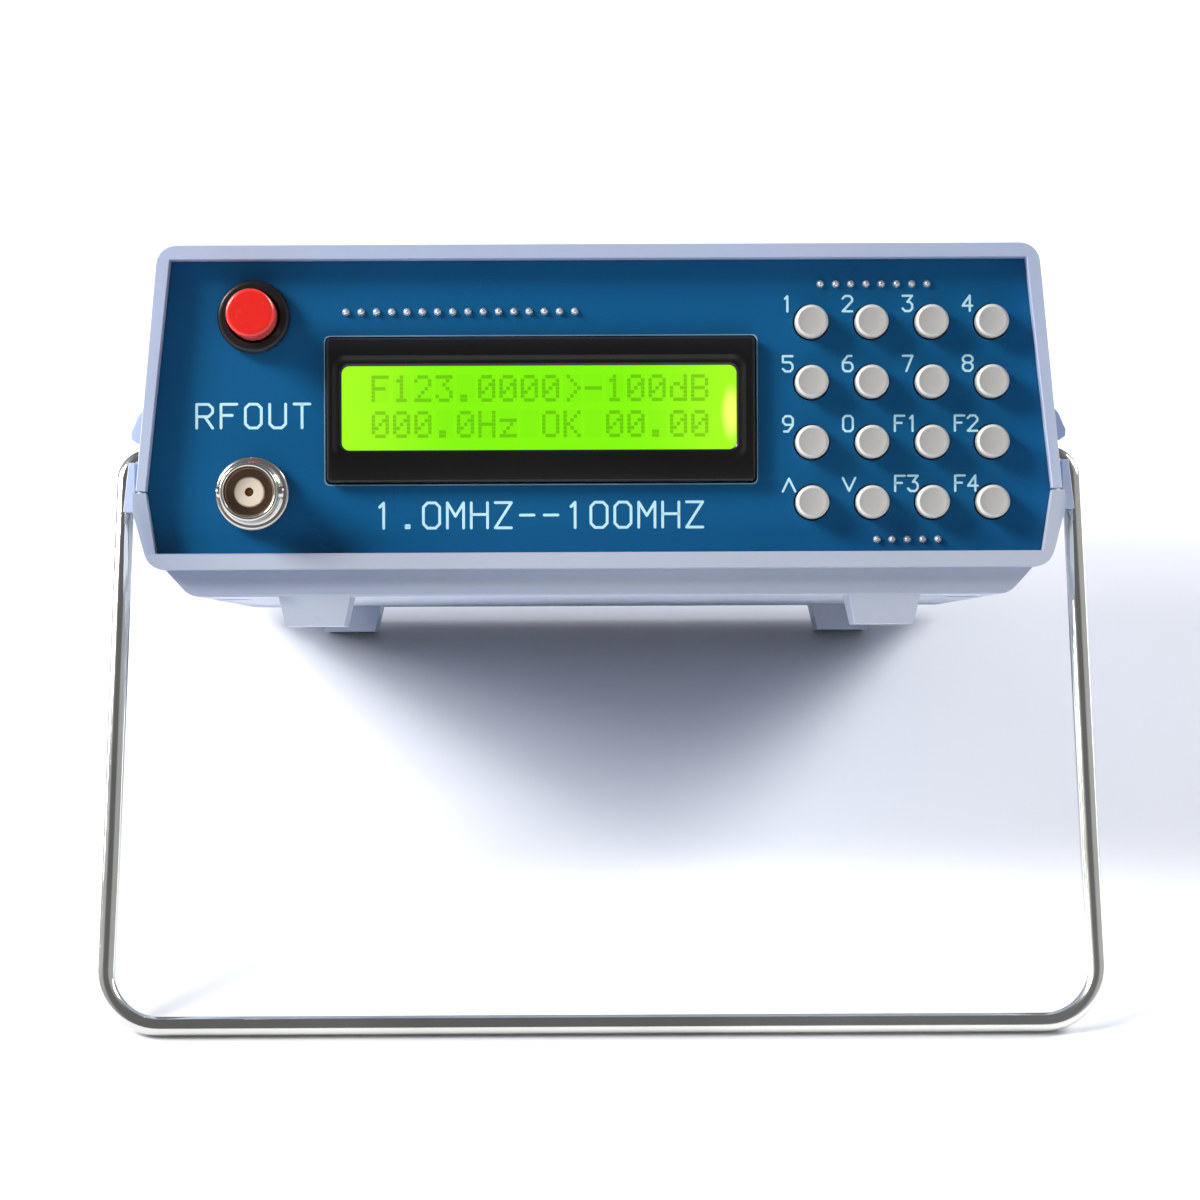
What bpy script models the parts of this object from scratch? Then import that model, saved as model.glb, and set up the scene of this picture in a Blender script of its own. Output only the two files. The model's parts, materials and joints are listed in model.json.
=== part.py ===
"""Bench radio-frequency signal generator in a two-half plastic case, standing on its wire bail.

Case frame, used by every size below: X to the right, Y into the case from the front rim, Z up from the
feet. The parent empty then tilts the whole case back, so that the bail and the rear feet rest on Z = 0.
"""

import math

import bmesh
import bpy

MM = 0.001
GAP = 0.3

# Case
DEPTH = 136.0
SEAM_Z = 22.2
RIM_TOP_Z = 63.1
RIM_BOTTOM_Z = 9.3
RIM_LENGTH = 9.0
RIM_UPPER = [(76.7, SEAM_Z), (73.0, RIM_TOP_Z)]
RIM_LOWER = [(77.2, SEAM_Z), (77.2, 18.8), (74.6, RIM_BOTTOM_Z)]
OPENING_UPPER = [(75.1, SEAM_Z), (71.0, 60.7)]
OPENING_LOWER = [(75.1, SEAM_Z), (73.5, 12.0)]
RIM_RADIUS = 3.4
BODY_TOP_Z = 62.3
BODY_BOTTOM_Z = 4.9
BODY_UPPER = [(75.9, SEAM_Z), (72.2, BODY_TOP_Z)]
BODY_LOWER = [(76.2, SEAM_Z), (75.6, 18.8), (72.0, RIM_BOTTOM_Z), (68.0, BODY_BOTTOM_Z)]
BODY_SET_BACK = 2.5
WALL = 2.2
PANEL_RECESS = 4.0
SLOT_DEPTH = 0.9
CORNER_STEPS = 5

# Feet
FOOT_X = 47.3
FOOT_TOP_WIDTH = 11.9
FOOT_BOTTOM_WIDTH = 9.7
FOOT_LENGTH = 16.0
REAR_FOOT_END = DEPTH - 5.0

# Screw posts
POST_X = 63.0
POST_FRONT_Y = 34.0
POST_REAR_Y = DEPTH - 22.0
POST_RADIUS = 3.6
CASE_SCREW_RADIUS = 1.35
CASE_SCREW_HEAD_RADIUS = 2.7
CASE_SCREW_HEAD_Z = 9.7
CASE_SCREW_LENGTH = 20.0

# Bail
BAIL_X = 79.7
BAIL_FOOT_X = 81.3
BAIL_PIVOT_Y = 15.0
BAIL_PIVOT_Z = 28.5
BAIL_REACH = 96.5
BAIL_FORWARD = math.radians(13.2)
WIRE_RADIUS = 1.65
BAIL_FOOT_BEND = 9.0
BAIL_TOP_BEND = 4.0
BAIL_END_X = 71.0
WIRE_SIDES = 12

# Stop lugs in front of the bail's arms
LUG_ROOT_X = 75.2
LUG_INNER_X = 77.5
LUG_TOP_X = 78.5
LUG_BOTTOM_X = 79.5
LUG_FRONT_Y = 6.0
LUG_TOP_Z = 27.4
LUG_BOTTOM_Z = 19.2

# Front panel
PANEL_THICK = 1.6
PANEL_FRONT = PANEL_RECESS
PANEL_BACK = PANEL_FRONT + PANEL_THICK
BEHIND_PANEL = PANEL_BACK + GAP
PIN_PITCH = 2.54
PIN_HALF = 0.32
PIN_HOLE_RADIUS = 0.8
PIN_PROUD = 0.7

# Keys
KEY_FIRST_X = 35.4
KEY_FIRST_Z = 50.2
KEY_PITCH = 10.0
KEY_RADIUS = 2.75
KEY_PROUD = 3.5
KEY_HOLE_RADIUS = 3.05
KEY_ROWS = [
    ["key_1", "key_2", "key_3", "key_4"],
    ["key_5", "key_6", "key_7", "key_8"],
    ["key_9", "key_0", "key_f1", "key_f2"],
    ["key_up", "key_down", "key_f3", "key_f4"],
]
KEYPAD_Y = 13.5
KEYPAD_EDGES = (31.2, 69.2, 11.0, 59.0)
SWITCH_HALF = 3.0
SWITCH_HEIGHT = 3.5

# Display module
LCD_X = -9.6
LCD_Z = 35.8
LCD_FRAME_SIZE = (71.2, 24.0)
LCD_WINDOW = (65.6, 14.0)
LCD_WINDOW_OFFSET = (-0.3, 0.3)
LCD_CLEARANCE = 0.3
LCD_FRONT = 1.8
LCD_FRAME_BACK = 8.4
LCD_BOARD_SIZE = (80.0, 36.0)
LCD_BOARD_Y = 8.8

# Power button and output socket
BUTTON_X = -57.3
BUTTON_Z = 51.4
BUTTON_RADIUS = 4.0
BUTTON_PROUD = 10.0
BUTTON_LENGTH = 14.5
BUTTON_HOLE_RADIUS = 5.3
SOCKET_X = -57.6
SOCKET_Z = 22.0
SOCKET_PROUD = 10.0
SOCKET_HOLE_RADIUS = 5.2

# Main board
BOARD_HALF_X = 57.0
BOARD_FRONT_Y = 28.0
BOARD_BACK_Y = 116.0
BOARD_Z = 14.3
BOARD_THICK = 1.6
BOARD_TOP = BOARD_Z + BOARD_THICK
ON_BOARD = BOARD_TOP + GAP
BOARD_POST_X = 50.0
BOARD_POST_YS = (33.0, 111.0)

# Rear panel
JACK_X = 45.0
JACK_Z = 30.0
JACK_HOLE_RADIUS = 4.3
VENT_COUNT = 9
VENT_FIRST_X = -52.0
VENT_PITCH = 6.0
VENT_Z = 36.0
VENT_HALF = (1.1, 11.0)

ROUND_STEPS = 24
SMALL_STEPS = 14
HOLE_STEPS = 6

COLOURS = {
    "case_plastic": ((0.40, 0.45, 0.62), 0.45, 0.0),
    "panel_blue": ((0.01, 0.10, 0.28), 0.35, 0.0),
    "chrome": ((0.72, 0.72, 0.70), 0.12, 1.0),
    "key_plastic": ((0.60, 0.59, 0.55), 0.5, 0.0),
    "red_plastic": ((0.75, 0.02, 0.03), 0.35, 0.0),
    "black_plastic": ((0.012, 0.012, 0.014), 0.3, 0.0),
    "black_metal": ((0.01, 0.01, 0.01), 0.4, 0.6),
    "lcd_green": ((0.25, 0.95, 0.01), 0.15, 0.0),
    "backlight_white": ((0.85, 0.87, 0.80), 0.5, 0.0),
    "board_green": ((0.01, 0.17, 0.06), 0.4, 0.0),
    "nickel": ((0.62, 0.60, 0.56), 0.2, 1.0),
    "insulator_white": ((0.86, 0.82, 0.72), 0.5, 0.0),
    "gold": ((0.85, 0.62, 0.25), 0.25, 1.0),
    "tinplate": ((0.70, 0.70, 0.70), 0.3, 1.0),
    "aluminium": ((0.66, 0.67, 0.68), 0.4, 1.0),
    "zinc_steel": ((0.55, 0.55, 0.56), 0.3, 1.0),
}


def standing_tilt():
    """Angle that the case leans back when the bail's bar and the rear feet touch one surface."""
    bar_y = BAIL_PIVOT_Y - BAIL_REACH * math.sin(BAIL_FORWARD)
    bar_z = BAIL_PIVOT_Z - BAIL_REACH * math.cos(BAIL_FORWARD)
    run = REAR_FOOT_END - bar_y
    tilt = math.asin(WIRE_RADIUS / math.hypot(run, bar_z)) + math.atan2(-bar_z, run)
    return tilt, bar_y, bar_z


def make_stand():
    """The empty that carries the case at its standing tilt, with the footprint centred on the origin."""
    tilt, bar_y, bar_z = standing_tilt()
    front = bar_y * math.cos(tilt) + bar_z * math.sin(tilt) - WIRE_RADIUS
    back = DEPTH * math.cos(tilt) + RIM_TOP_Z * math.sin(tilt)
    stand = bpy.data.objects.new("standing_pose", None)
    bpy.context.scene.collection.objects.link(stand)
    stand.rotation_euler = (-tilt, 0.0, 0.0)
    stand.location = (0.0, -(front + back) / 2 * MM, REAR_FOOT_END * math.sin(tilt) * MM)
    return stand


def clear_scene():
    for obj in list(bpy.data.objects):
        bpy.data.objects.remove(obj, do_unlink=True)


def material(slot):
    """One Principled material for each finish, made the first time it is asked for."""
    made = bpy.data.materials.get(slot)
    if made:
        return made
    colour, roughness, metallic = COLOURS[slot]
    made = bpy.data.materials.new(slot)
    made.use_nodes = True
    shader = made.node_tree.nodes["Principled BSDF"]
    shader.inputs["Base Color"].default_value = (*colour, 1.0)
    shader.inputs["Roughness"].default_value = roughness
    shader.inputs["Metallic"].default_value = metallic
    made.diffuse_color = (*colour, 1.0)
    return made


def place(axis, u, v, along):
    """A point from its two outline coordinates and its distance along the axis."""
    return {"X": (along, u, v), "Y": (u, along, v), "Z": (u, v, along)}[axis]


def add_prism(bm, outline, low, high, axis="Y"):
    """Extrudes a closed outline between two distances along an axis."""
    rings = []
    for along in (low, high):
        rings.append([bm.verts.new(place(axis, u, v, along)) for u, v in outline])
    faces = [bm.faces.new(rings[0]), bm.faces.new(rings[1][::-1])]
    for i in range(len(outline)):
        j = (i + 1) % len(outline)
        faces.append(bm.faces.new((rings[0][j], rings[0][i], rings[1][i], rings[1][j])))
    bmesh.ops.recalc_face_normals(bm, faces=faces)


def add_box(bm, low, high):
    corners = [(low[0], low[2]), (high[0], low[2]), (high[0], high[2]), (low[0], high[2])]
    add_prism(bm, corners, low[1], high[1])


def add_turned(bm, profile, centre=(0.0, 0.0), axis="Y", steps=ROUND_STEPS):
    """Turns a closed profile of (radius, distance along the axis) about the axis through the centre."""
    rings = []
    for radius, along in profile:
        if radius == 0.0:
            rings.append([bm.verts.new(place(axis, *centre, along))] * steps)
            continue
        ring = []
        for i in range(steps):
            angle = 2 * math.pi * (i + 0.5) / steps
            u = centre[0] + radius * math.cos(angle)
            v = centre[1] + radius * math.sin(angle)
            ring.append(bm.verts.new(place(axis, u, v, along)))
        rings.append(ring)
    faces = []
    for a, b in zip(rings, rings[1:] + rings[:1]):
        if a[0] is a[1] and b[0] is b[1]:
            continue
        for i in range(steps):
            j = (i + 1) % steps
            corners = list(dict.fromkeys((a[i], a[j], b[j], b[i])))
            faces.append(bm.faces.new(corners))
    bmesh.ops.recalc_face_normals(bm, faces=faces)


def add_rod(bm, centre, radius, low, high, axis="Y", steps=ROUND_STEPS):
    profile = [(0.0, low), (radius, low), (radius, high), (0.0, high)]
    add_turned(bm, profile, centre, axis, steps)


def new_object(name, bm, stand, origin=(0.0, 0.0, 0.0)):
    """Turns millimetre geometry in the case frame into an object whose origin is the given point."""
    bmesh.ops.translate(bm, verts=bm.verts, vec=[-value for value in origin])
    bmesh.ops.scale(bm, verts=bm.verts, vec=(MM, MM, MM))
    mesh = bpy.data.meshes.new(name)
    bm.to_mesh(mesh)
    bm.free()
    obj = bpy.data.objects.new(name, mesh)
    bpy.context.scene.collection.objects.link(obj)
    obj.parent = stand
    obj.location = [value * MM for value in origin]
    return obj


def piece(name, bm, slot, stand, origin=(0.0, 0.0, 0.0)):
    obj = new_object(name, bm, stand, origin)
    obj.data.materials.append(material(slot))
    obj.data.shade_smooth()
    obj.data.set_sharp_from_angle(angle=math.radians(35.0))
    return obj


def combine(target, operation, bm, stand):
    """Joins or cuts with hidden geometry, through a live Boolean."""
    tool = new_object(f"{target.name}_tool_{len(target.modifiers) + 1}", bm, stand)
    tool.hide_render = True
    tool.display_type = "WIRE"
    modifier = target.modifiers.new(operation.title(), "BOOLEAN")
    modifier.operation = operation
    modifier.object = tool


def mirrored(side):
    """A closed outline from the points of its right side, listed from the seam outwards."""
    return side + [(-x, z) for x, z in reversed(side)]


def rounded(outline, corners, radius):
    """The outline with the named corners replaced by arcs."""
    result = []
    count = len(outline)
    for i, point in enumerate(outline):
        if i not in corners:
            result.append(point)
            continue
        before, after = outline[i - 1], outline[(i + 1) % count]
        a = math.atan2(before[1] - point[1], before[0] - point[0])
        b = math.atan2(after[1] - point[1], after[0] - point[0])
        turn = (b - a + math.pi) % (2 * math.pi) - math.pi
        reach = radius / abs(math.tan(turn / 2))
        middle = a + turn / 2
        away = radius / abs(math.sin(turn / 2))
        cx = point[0] + away * math.cos(middle)
        cz = point[1] + away * math.sin(middle)
        start = math.atan2(point[1] + reach * math.sin(a) - cz, point[0] + reach * math.cos(a) - cx)
        sweep = -math.copysign(math.pi - abs(turn), turn)
        for step in range(CORNER_STEPS + 1):
            angle = start + sweep * step / CORNER_STEPS
            result.append((cx + radius * math.cos(angle), cz + radius * math.sin(angle)))
    return result


def widened(side, outwards, up):
    """The side's points moved outwards, with the last one also moved up or down."""
    moved = [(x + outwards, z) for x, z in side]
    moved[-1] = (moved[-1][0], moved[-1][1] + up)
    return moved


def past_seam(side, up):
    """The side with its seam point carried past the seam, so that a cutter leaves nothing there."""
    x, z = side[0]
    return [(x, z - up)] + side


def at_seam(side, gap):
    return [(side[0][0], side[0][1] + gap)] + side[1:]


def hollow(shell, opening, body, up, stand):
    """Cuts the rims' openings, the panel slots and the cavity out of one half of the case."""
    openings = bmesh.new()
    outline = mirrored(past_seam(opening, 5.0 * up))
    add_prism(openings, outline, -1.0, RIM_LENGTH - 1.0)
    add_prism(openings, outline, DEPTH - RIM_LENGTH + 1.0, DEPTH + 1.0)
    combine(shell, "DIFFERENCE", openings, stand)
    slots = bmesh.new()
    outline = mirrored(past_seam(widened(opening, SLOT_DEPTH, SLOT_DEPTH * up), 5.0 * up))
    for front in (PANEL_FRONT - GAP, DEPTH - PANEL_BACK - GAP):
        add_prism(slots, outline, front, front + PANEL_THICK + 2 * GAP)
    combine(shell, "DIFFERENCE", slots, stand)
    cavity = bmesh.new()
    outline = mirrored(past_seam(widened(body, -WALL, -WALL * up), 5.0 * up))
    add_prism(cavity, outline, RIM_LENGTH - 1.1, DEPTH - RIM_LENGTH + 1.1)
    combine(shell, "DIFFERENCE", cavity, stand)


def screw_posts():
    return [(x, y) for x in (-POST_X, POST_X) for y in (POST_FRONT_Y, POST_REAR_Y)]


def top_shell(stand):
    """Upper half of the case, with the screw pillars, the bail's holes and its stop lugs."""
    bm = bmesh.new()
    body = rounded(mirrored(at_seam(BODY_UPPER, GAP / 2)), (1, 2), RIM_RADIUS)
    add_prism(bm, body, BODY_SET_BACK, DEPTH - BODY_SET_BACK)
    shell = piece("top_shell", bm, "case_plastic", stand)
    rims = bmesh.new()
    rim = rounded(mirrored(at_seam(RIM_UPPER, GAP / 2)), (1, 2), RIM_RADIUS)
    add_prism(rims, rim, 0.0, RIM_LENGTH)
    add_prism(rims, rim, DEPTH - RIM_LENGTH, DEPTH)
    combine(shell, "UNION", rims, stand)
    hollow(shell, OPENING_UPPER, BODY_UPPER, 1.0, stand)
    pillars = bmesh.new()
    for centre in screw_posts():
        add_rod(pillars, centre, POST_RADIUS, SEAM_Z + GAP, BODY_TOP_Z - 1.0, "Z", SMALL_STEPS)
    combine(shell, "UNION", pillars, stand)
    roots = bmesh.new()
    hooks = bmesh.new()
    for side in (-1.0, 1.0):
        add_stop_lug(roots, hooks, side)
        add_guide_wedge(roots, side)
    combine(shell, "UNION", roots, stand)
    combine(shell, "UNION", hooks, stand)
    holes = bmesh.new()
    for centre in screw_posts():
        add_rod(holes, centre, CASE_SCREW_RADIUS + GAP, SEAM_Z - 1.0, SEAM_Z + 12.0, "Z", HOLE_STEPS)
    for side in (-1.0, 1.0):
        low, high = sorted((side * 70.0, side * 79.0))
        add_rod(holes, (BAIL_PIVOT_Y, BAIL_PIVOT_Z), WIRE_RADIUS + 0.35, low, high, "X", SMALL_STEPS)
    combine(shell, "DIFFERENCE", holes, stand)


def add_loft(bm, lower, upper):
    """Joins two rings with the same number of points into a closed solid."""
    rings = [[bm.verts.new(point) for point in ring] for ring in (lower, upper)]
    faces = [bm.faces.new(rings[0]), bm.faces.new(rings[1][::-1])]
    for i in range(len(lower)):
        j = (i + 1) % len(lower)
        faces.append(bm.faces.new((rings[0][j], rings[0][i], rings[1][i], rings[1][j])))
    bmesh.ops.recalc_face_normals(bm, faces=faces)


def lug_ring(side, z, inner_x, outer_x, front_y, clearance=GAP):
    """Four corners of a lug at one height, with its back face following the leaning arm."""
    back_y = BAIL_PIVOT_Y - WIRE_RADIUS / math.cos(BAIL_FORWARD) - clearance
    back_y -= math.tan(BAIL_FORWARD) * (BAIL_PIVOT_Z - z)
    corners = [(inner_x, front_y), (outer_x, front_y), (outer_x, back_y), (inner_x, back_y)]
    return [(side * x, y, z) for x, y in corners]


def add_stop_lug(roots, hooks, side):
    """Lug that hangs over the seam in front of the bail's arm and stops it from swinging further forward."""
    lower = lug_ring(side, LUG_BOTTOM_Z, LUG_INNER_X, LUG_BOTTOM_X, LUG_FRONT_Y + 1.0)
    upper = lug_ring(side, LUG_TOP_Z, LUG_INNER_X, LUG_TOP_X, LUG_FRONT_Y + 0.6)
    add_loft(hooks, lower, upper)
    inside = 2 * GAP
    root_x = LUG_TOP_X - 0.5
    lower = lug_ring(side, SEAM_Z + inside, LUG_ROOT_X, root_x, LUG_FRONT_Y + 1.2, inside)
    upper = lug_ring(side, LUG_TOP_Z - inside, LUG_ROOT_X, root_x, LUG_FRONT_Y + 1.2, inside)
    add_loft(roots, lower, upper)


def add_guide_wedge(bm, side):
    """Ramp above each pivot, widest just over the wire."""
    half_width = 4.0
    profile = [(74.0, 30.8), (77.4, 30.8), (78.5, 31.5), (78.6, 32.6)]
    profile += [(77.4, 35.4), (74.9, 38.6), (74.0, 38.6)]
    outline = [(side * x, z) for x, z in profile]
    add_prism(bm, outline, BAIL_PIVOT_Y - half_width, BAIL_PIVOT_Y + half_width)


def bottom_shell(stand):
    """Lower half of the case, with its feet, the screw sockets and the board's pillars."""
    bm = bmesh.new()
    body = rounded(mirrored(at_seam(BODY_LOWER, -GAP / 2)), (3, 4), RIM_RADIUS)
    add_prism(bm, body, BODY_SET_BACK, DEPTH - BODY_SET_BACK)
    shell = piece("bottom_shell", bm, "case_plastic", stand)
    rims = bmesh.new()
    rim = rounded(mirrored(at_seam(RIM_LOWER, -GAP / 2)), (2, 3), RIM_RADIUS)
    add_prism(rims, rim, 0.0, RIM_LENGTH)
    add_prism(rims, rim, DEPTH - RIM_LENGTH, DEPTH)
    combine(shell, "UNION", rims, stand)
    hollow(shell, OPENING_LOWER, BODY_LOWER, -1.0, stand)
    extras = bmesh.new()
    for centre in screw_posts():
        add_rod(extras, centre, POST_RADIUS + 0.8, BODY_BOTTOM_Z + 1.0, SEAM_Z - GAP, "Z", SMALL_STEPS)
    for x in (-BOARD_POST_X, BOARD_POST_X):
        for y in BOARD_POST_YS:
            add_rod(extras, (x, y), 3.2, BODY_BOTTOM_Z + 1.0, BOARD_Z - GAP, "Z", SMALL_STEPS)
    combine(shell, "UNION", extras, stand)
    feet = bmesh.new()
    for side in (-1.0, 1.0):
        for front in (BODY_SET_BACK, REAR_FOOT_END - FOOT_LENGTH):
            add_foot(feet, side * FOOT_X, front)
    combine(shell, "UNION", feet, stand)
    holes = bmesh.new()
    for centre in screw_posts():
        profile = [
            (0.0, BODY_BOTTOM_Z - 1.0),
            (CASE_SCREW_HEAD_RADIUS + 0.6, BODY_BOTTOM_Z - 1.0),
            (CASE_SCREW_HEAD_RADIUS + 0.6, CASE_SCREW_HEAD_Z + GAP),
            (CASE_SCREW_RADIUS + GAP, CASE_SCREW_HEAD_Z + GAP),
            (CASE_SCREW_RADIUS + GAP, SEAM_Z + 1.0),
            (0.0, SEAM_Z + 1.0),
        ]
        add_turned(holes, profile, centre, "Z", SMALL_STEPS)
    for x in (-BOARD_POST_X, BOARD_POST_X):
        for y in BOARD_POST_YS:
            add_rod(holes, (x, y), 1.5, BODY_BOTTOM_Z + WALL, BOARD_Z + 1.0, "Z", HOLE_STEPS)
    combine(shell, "DIFFERENCE", holes, stand)


def add_foot(bm, x, front):
    top, bottom = FOOT_TOP_WIDTH / 2, FOOT_BOTTOM_WIDTH / 2
    slope = (top - bottom) / BODY_BOTTOM_Z
    sunk = BODY_BOTTOM_Z + 1.0
    high = bottom + slope * sunk
    outline = [(x - bottom, 0.0), (x + bottom, 0.0), (x + high, sunk), (x - high, sunk)]
    add_prism(bm, outline, front, front + FOOT_LENGTH)


def panel_outline():
    """The edge of a panel that slides into the slots of both halves."""
    reach = SLOT_DEPTH - GAP
    upper = widened(OPENING_UPPER, reach, reach)
    lower = widened(OPENING_LOWER, reach, -reach)
    return mirrored([lower[1], upper[0], upper[1]])


def header_pins(first_x, count, z):
    return [(first_x + i * PIN_PITCH, z) for i in range(count)]


LCD_PINS = header_pins(-42.0, 16, 52.2)
KEYPAD_PINS = header_pins(37.0, 8, 56.6)
LOWER_PINS = header_pins(46.2, 5, 14.0)


def key_centres():
    centres = {}
    for row, names in enumerate(KEY_ROWS):
        for column, name in enumerate(names):
            centres[name] = (KEY_FIRST_X + KEY_PITCH * column, KEY_FIRST_Z - KEY_PITCH * row)
    return centres


def front_panel(stand):
    """Blue printed-board panel with its cut-outs."""
    bm = bmesh.new()
    add_prism(bm, panel_outline(), PANEL_FRONT, PANEL_BACK)
    panel = piece("front_panel", bm, "panel_blue", stand)
    low, high = PANEL_FRONT - 1.0, PANEL_BACK + 1.0
    cuts = bmesh.new()
    for centre in key_centres().values():
        add_rod(cuts, centre, KEY_HOLE_RADIUS, low, high, "Y", SMALL_STEPS)
    for centre in LCD_PINS + KEYPAD_PINS + LOWER_PINS:
        add_rod(cuts, centre, PIN_HOLE_RADIUS, low, high, "Y", HOLE_STEPS)
    add_rod(cuts, (BUTTON_X, BUTTON_Z), BUTTON_HOLE_RADIUS, low, high)
    add_rod(cuts, (SOCKET_X, SOCKET_Z), SOCKET_HOLE_RADIUS, low, high)
    half_x = LCD_FRAME_SIZE[0] / 2 + LCD_CLEARANCE
    half_z = LCD_FRAME_SIZE[1] / 2 + LCD_CLEARANCE
    add_box(cuts, (LCD_X - half_x, low, LCD_Z - half_z), (LCD_X + half_x, high, LCD_Z + half_z))
    combine(panel, "DIFFERENCE", cuts, stand)


def rear_panel(stand):
    """Plastic panel that closes the back and carries the supply jack."""
    bm = bmesh.new()
    add_prism(bm, panel_outline(), DEPTH - PANEL_BACK, DEPTH - PANEL_FRONT)
    panel = piece("rear_panel", bm, "case_plastic", stand)
    cuts = bmesh.new()
    low, high = DEPTH - PANEL_BACK - 1.0, DEPTH - PANEL_FRONT + 1.0
    add_rod(cuts, (JACK_X, JACK_Z), JACK_HOLE_RADIUS, low, high)
    for step in range(VENT_COUNT):
        x = VENT_FIRST_X + step * VENT_PITCH
        bottom_corner = (x - VENT_HALF[0], low, VENT_Z - VENT_HALF[1])
        top_corner = (x + VENT_HALF[0], high, VENT_Z + VENT_HALF[1])
        add_box(cuts, bottom_corner, top_corner)
    combine(panel, "DIFFERENCE", cuts, stand)


def bail_route():
    """Half of the wire's centre line as (X, distance below the pivot), from its end in the case wall."""
    route = [(BAIL_END_X, 0.0)]
    for bend, corner, start in (
        (BAIL_TOP_BEND, (BAIL_X - BAIL_TOP_BEND, BAIL_TOP_BEND), -90.0),
        (BAIL_FOOT_BEND, (BAIL_FOOT_X - BAIL_FOOT_BEND, BAIL_REACH - BAIL_FOOT_BEND), 0.0),
    ):
        for step in range(CORNER_STEPS + 2):
            angle = math.radians(start + 90.0 * step / (CORNER_STEPS + 1))
            route.append((corner[0] + bend * math.cos(angle), corner[1] + bend * math.sin(angle)))
    return route


def bail_handle(stand):
    """Bent wire with its two ends turned in through the case walls, on the hinge axis."""
    half = bail_route()
    route = [(-x, 0.0, -down) for x, down in half] + [(x, 0.0, -down) for x, down in reversed(half)]
    lean = BAIL_FORWARD
    bm = bmesh.new()
    rings = []
    for i, (x, _, z) in enumerate(route):
        before = route[max(i - 1, 0)]
        after = route[min(i + 1, len(route) - 1)]
        run = math.hypot(after[0] - before[0], after[2] - before[2])
        tangent = ((after[0] - before[0]) / run, (after[2] - before[2]) / run)
        ring = []
        for side in range(WIRE_SIDES):
            angle = 2 * math.pi * (side + 0.5) / WIRE_SIDES
            out = WIRE_RADIUS * math.cos(angle)
            depth = WIRE_RADIUS * math.sin(angle)
            px, pz = x - tangent[1] * out, z + tangent[0] * out
            py = depth * math.cos(lean) + pz * math.sin(lean)
            pz = pz * math.cos(lean) - depth * math.sin(lean)
            ring.append(bm.verts.new((px, BAIL_PIVOT_Y + py, BAIL_PIVOT_Z + pz)))
        rings.append(ring)
    for a, b in zip(rings, rings[1:]):
        for i in range(WIRE_SIDES):
            j = (i + 1) % WIRE_SIDES
            bm.faces.new((a[i], a[j], b[j], b[i]))
    bm.faces.new(rings[0])
    bm.faces.new(rings[-1])
    bmesh.ops.recalc_face_normals(bm, faces=bm.faces)
    piece("bail_handle", bm, "chrome", stand, (0.0, BAIL_PIVOT_Y, BAIL_PIVOT_Z))


def key_caps(stand):
    """Sixteen round caps, each with a flange behind the panel and a stem in its switch."""
    face = PANEL_FRONT - KEY_PROUD
    flange = BEHIND_PANEL + 0.3
    profile = [
        (0.0, face),
        (KEY_RADIUS - 0.5, face),
        (KEY_RADIUS, face + 0.5),
        (KEY_RADIUS, flange),
        (KEY_RADIUS + 0.9, flange),
        (KEY_RADIUS + 0.9, flange + 0.8),
        (1.6, flange + 1.6),
        (1.6, KEYPAD_Y - SWITCH_HEIGHT + 0.8),
        (0.0, KEYPAD_Y - SWITCH_HEIGHT + 0.8),
    ]
    for name, (x, z) in key_centres().items():
        bm = bmesh.new()
        add_turned(bm, profile, (x, z), "Y", SMALL_STEPS)
        piece(name, bm, "key_plastic", stand, (x, face, z))


def keypad_board(stand):
    """Board behind the keys with its sixteen switch housings, each open at the front for a key's stem."""
    bm = bmesh.new()
    left, right, bottom, top = KEYPAD_EDGES
    add_box(bm, (left, KEYPAD_Y, bottom), (right, KEYPAD_Y + PANEL_THICK, top))
    board = piece("keypad_board", bm, "board_green", stand)
    housings = bmesh.new()
    for x, z in key_centres().values():
        low = (x - SWITCH_HALF, KEYPAD_Y - SWITCH_HEIGHT, z - SWITCH_HALF)
        high = (x + SWITCH_HALF, KEYPAD_Y + 0.5, z + SWITCH_HALF)
        add_box(housings, low, high)
    combine(board, "UNION", housings, stand)
    cuts = bmesh.new()
    for centre in key_centres().values():
        low = KEYPAD_Y - SWITCH_HEIGHT
        add_rod(cuts, centre, 2.0, low - 1.0, low + 1.6, "Y", HOLE_STEPS)
    for centre in KEYPAD_PINS + LOWER_PINS:
        add_rod(cuts, centre, PIN_HOLE_RADIUS, KEYPAD_Y - 1.0, KEYPAD_Y + 3.0, "Y", HOLE_STEPS)
    combine(board, "DIFFERENCE", cuts, stand)


def pin_header(name, pins, back, pin_end, stand):
    """Black strip that spaces two boards, with its row of square pins through both."""
    half = 1.2
    bm = bmesh.new()
    low = (pins[0][0] - half, BEHIND_PANEL, pins[0][1] - half)
    high = (pins[-1][0] + half, back - GAP, pins[0][1] + half)
    add_box(bm, low, high)
    header = piece(name, bm, "black_plastic", stand)
    spikes = bmesh.new()
    for x, z in pins:
        low = (x - PIN_HALF, PANEL_FRONT - PIN_PROUD, z - PIN_HALF)
        high = (x + PIN_HALF, pin_end, z + PIN_HALF)
        add_box(spikes, low, high)
    combine(header, "UNION", spikes, stand)


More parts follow.
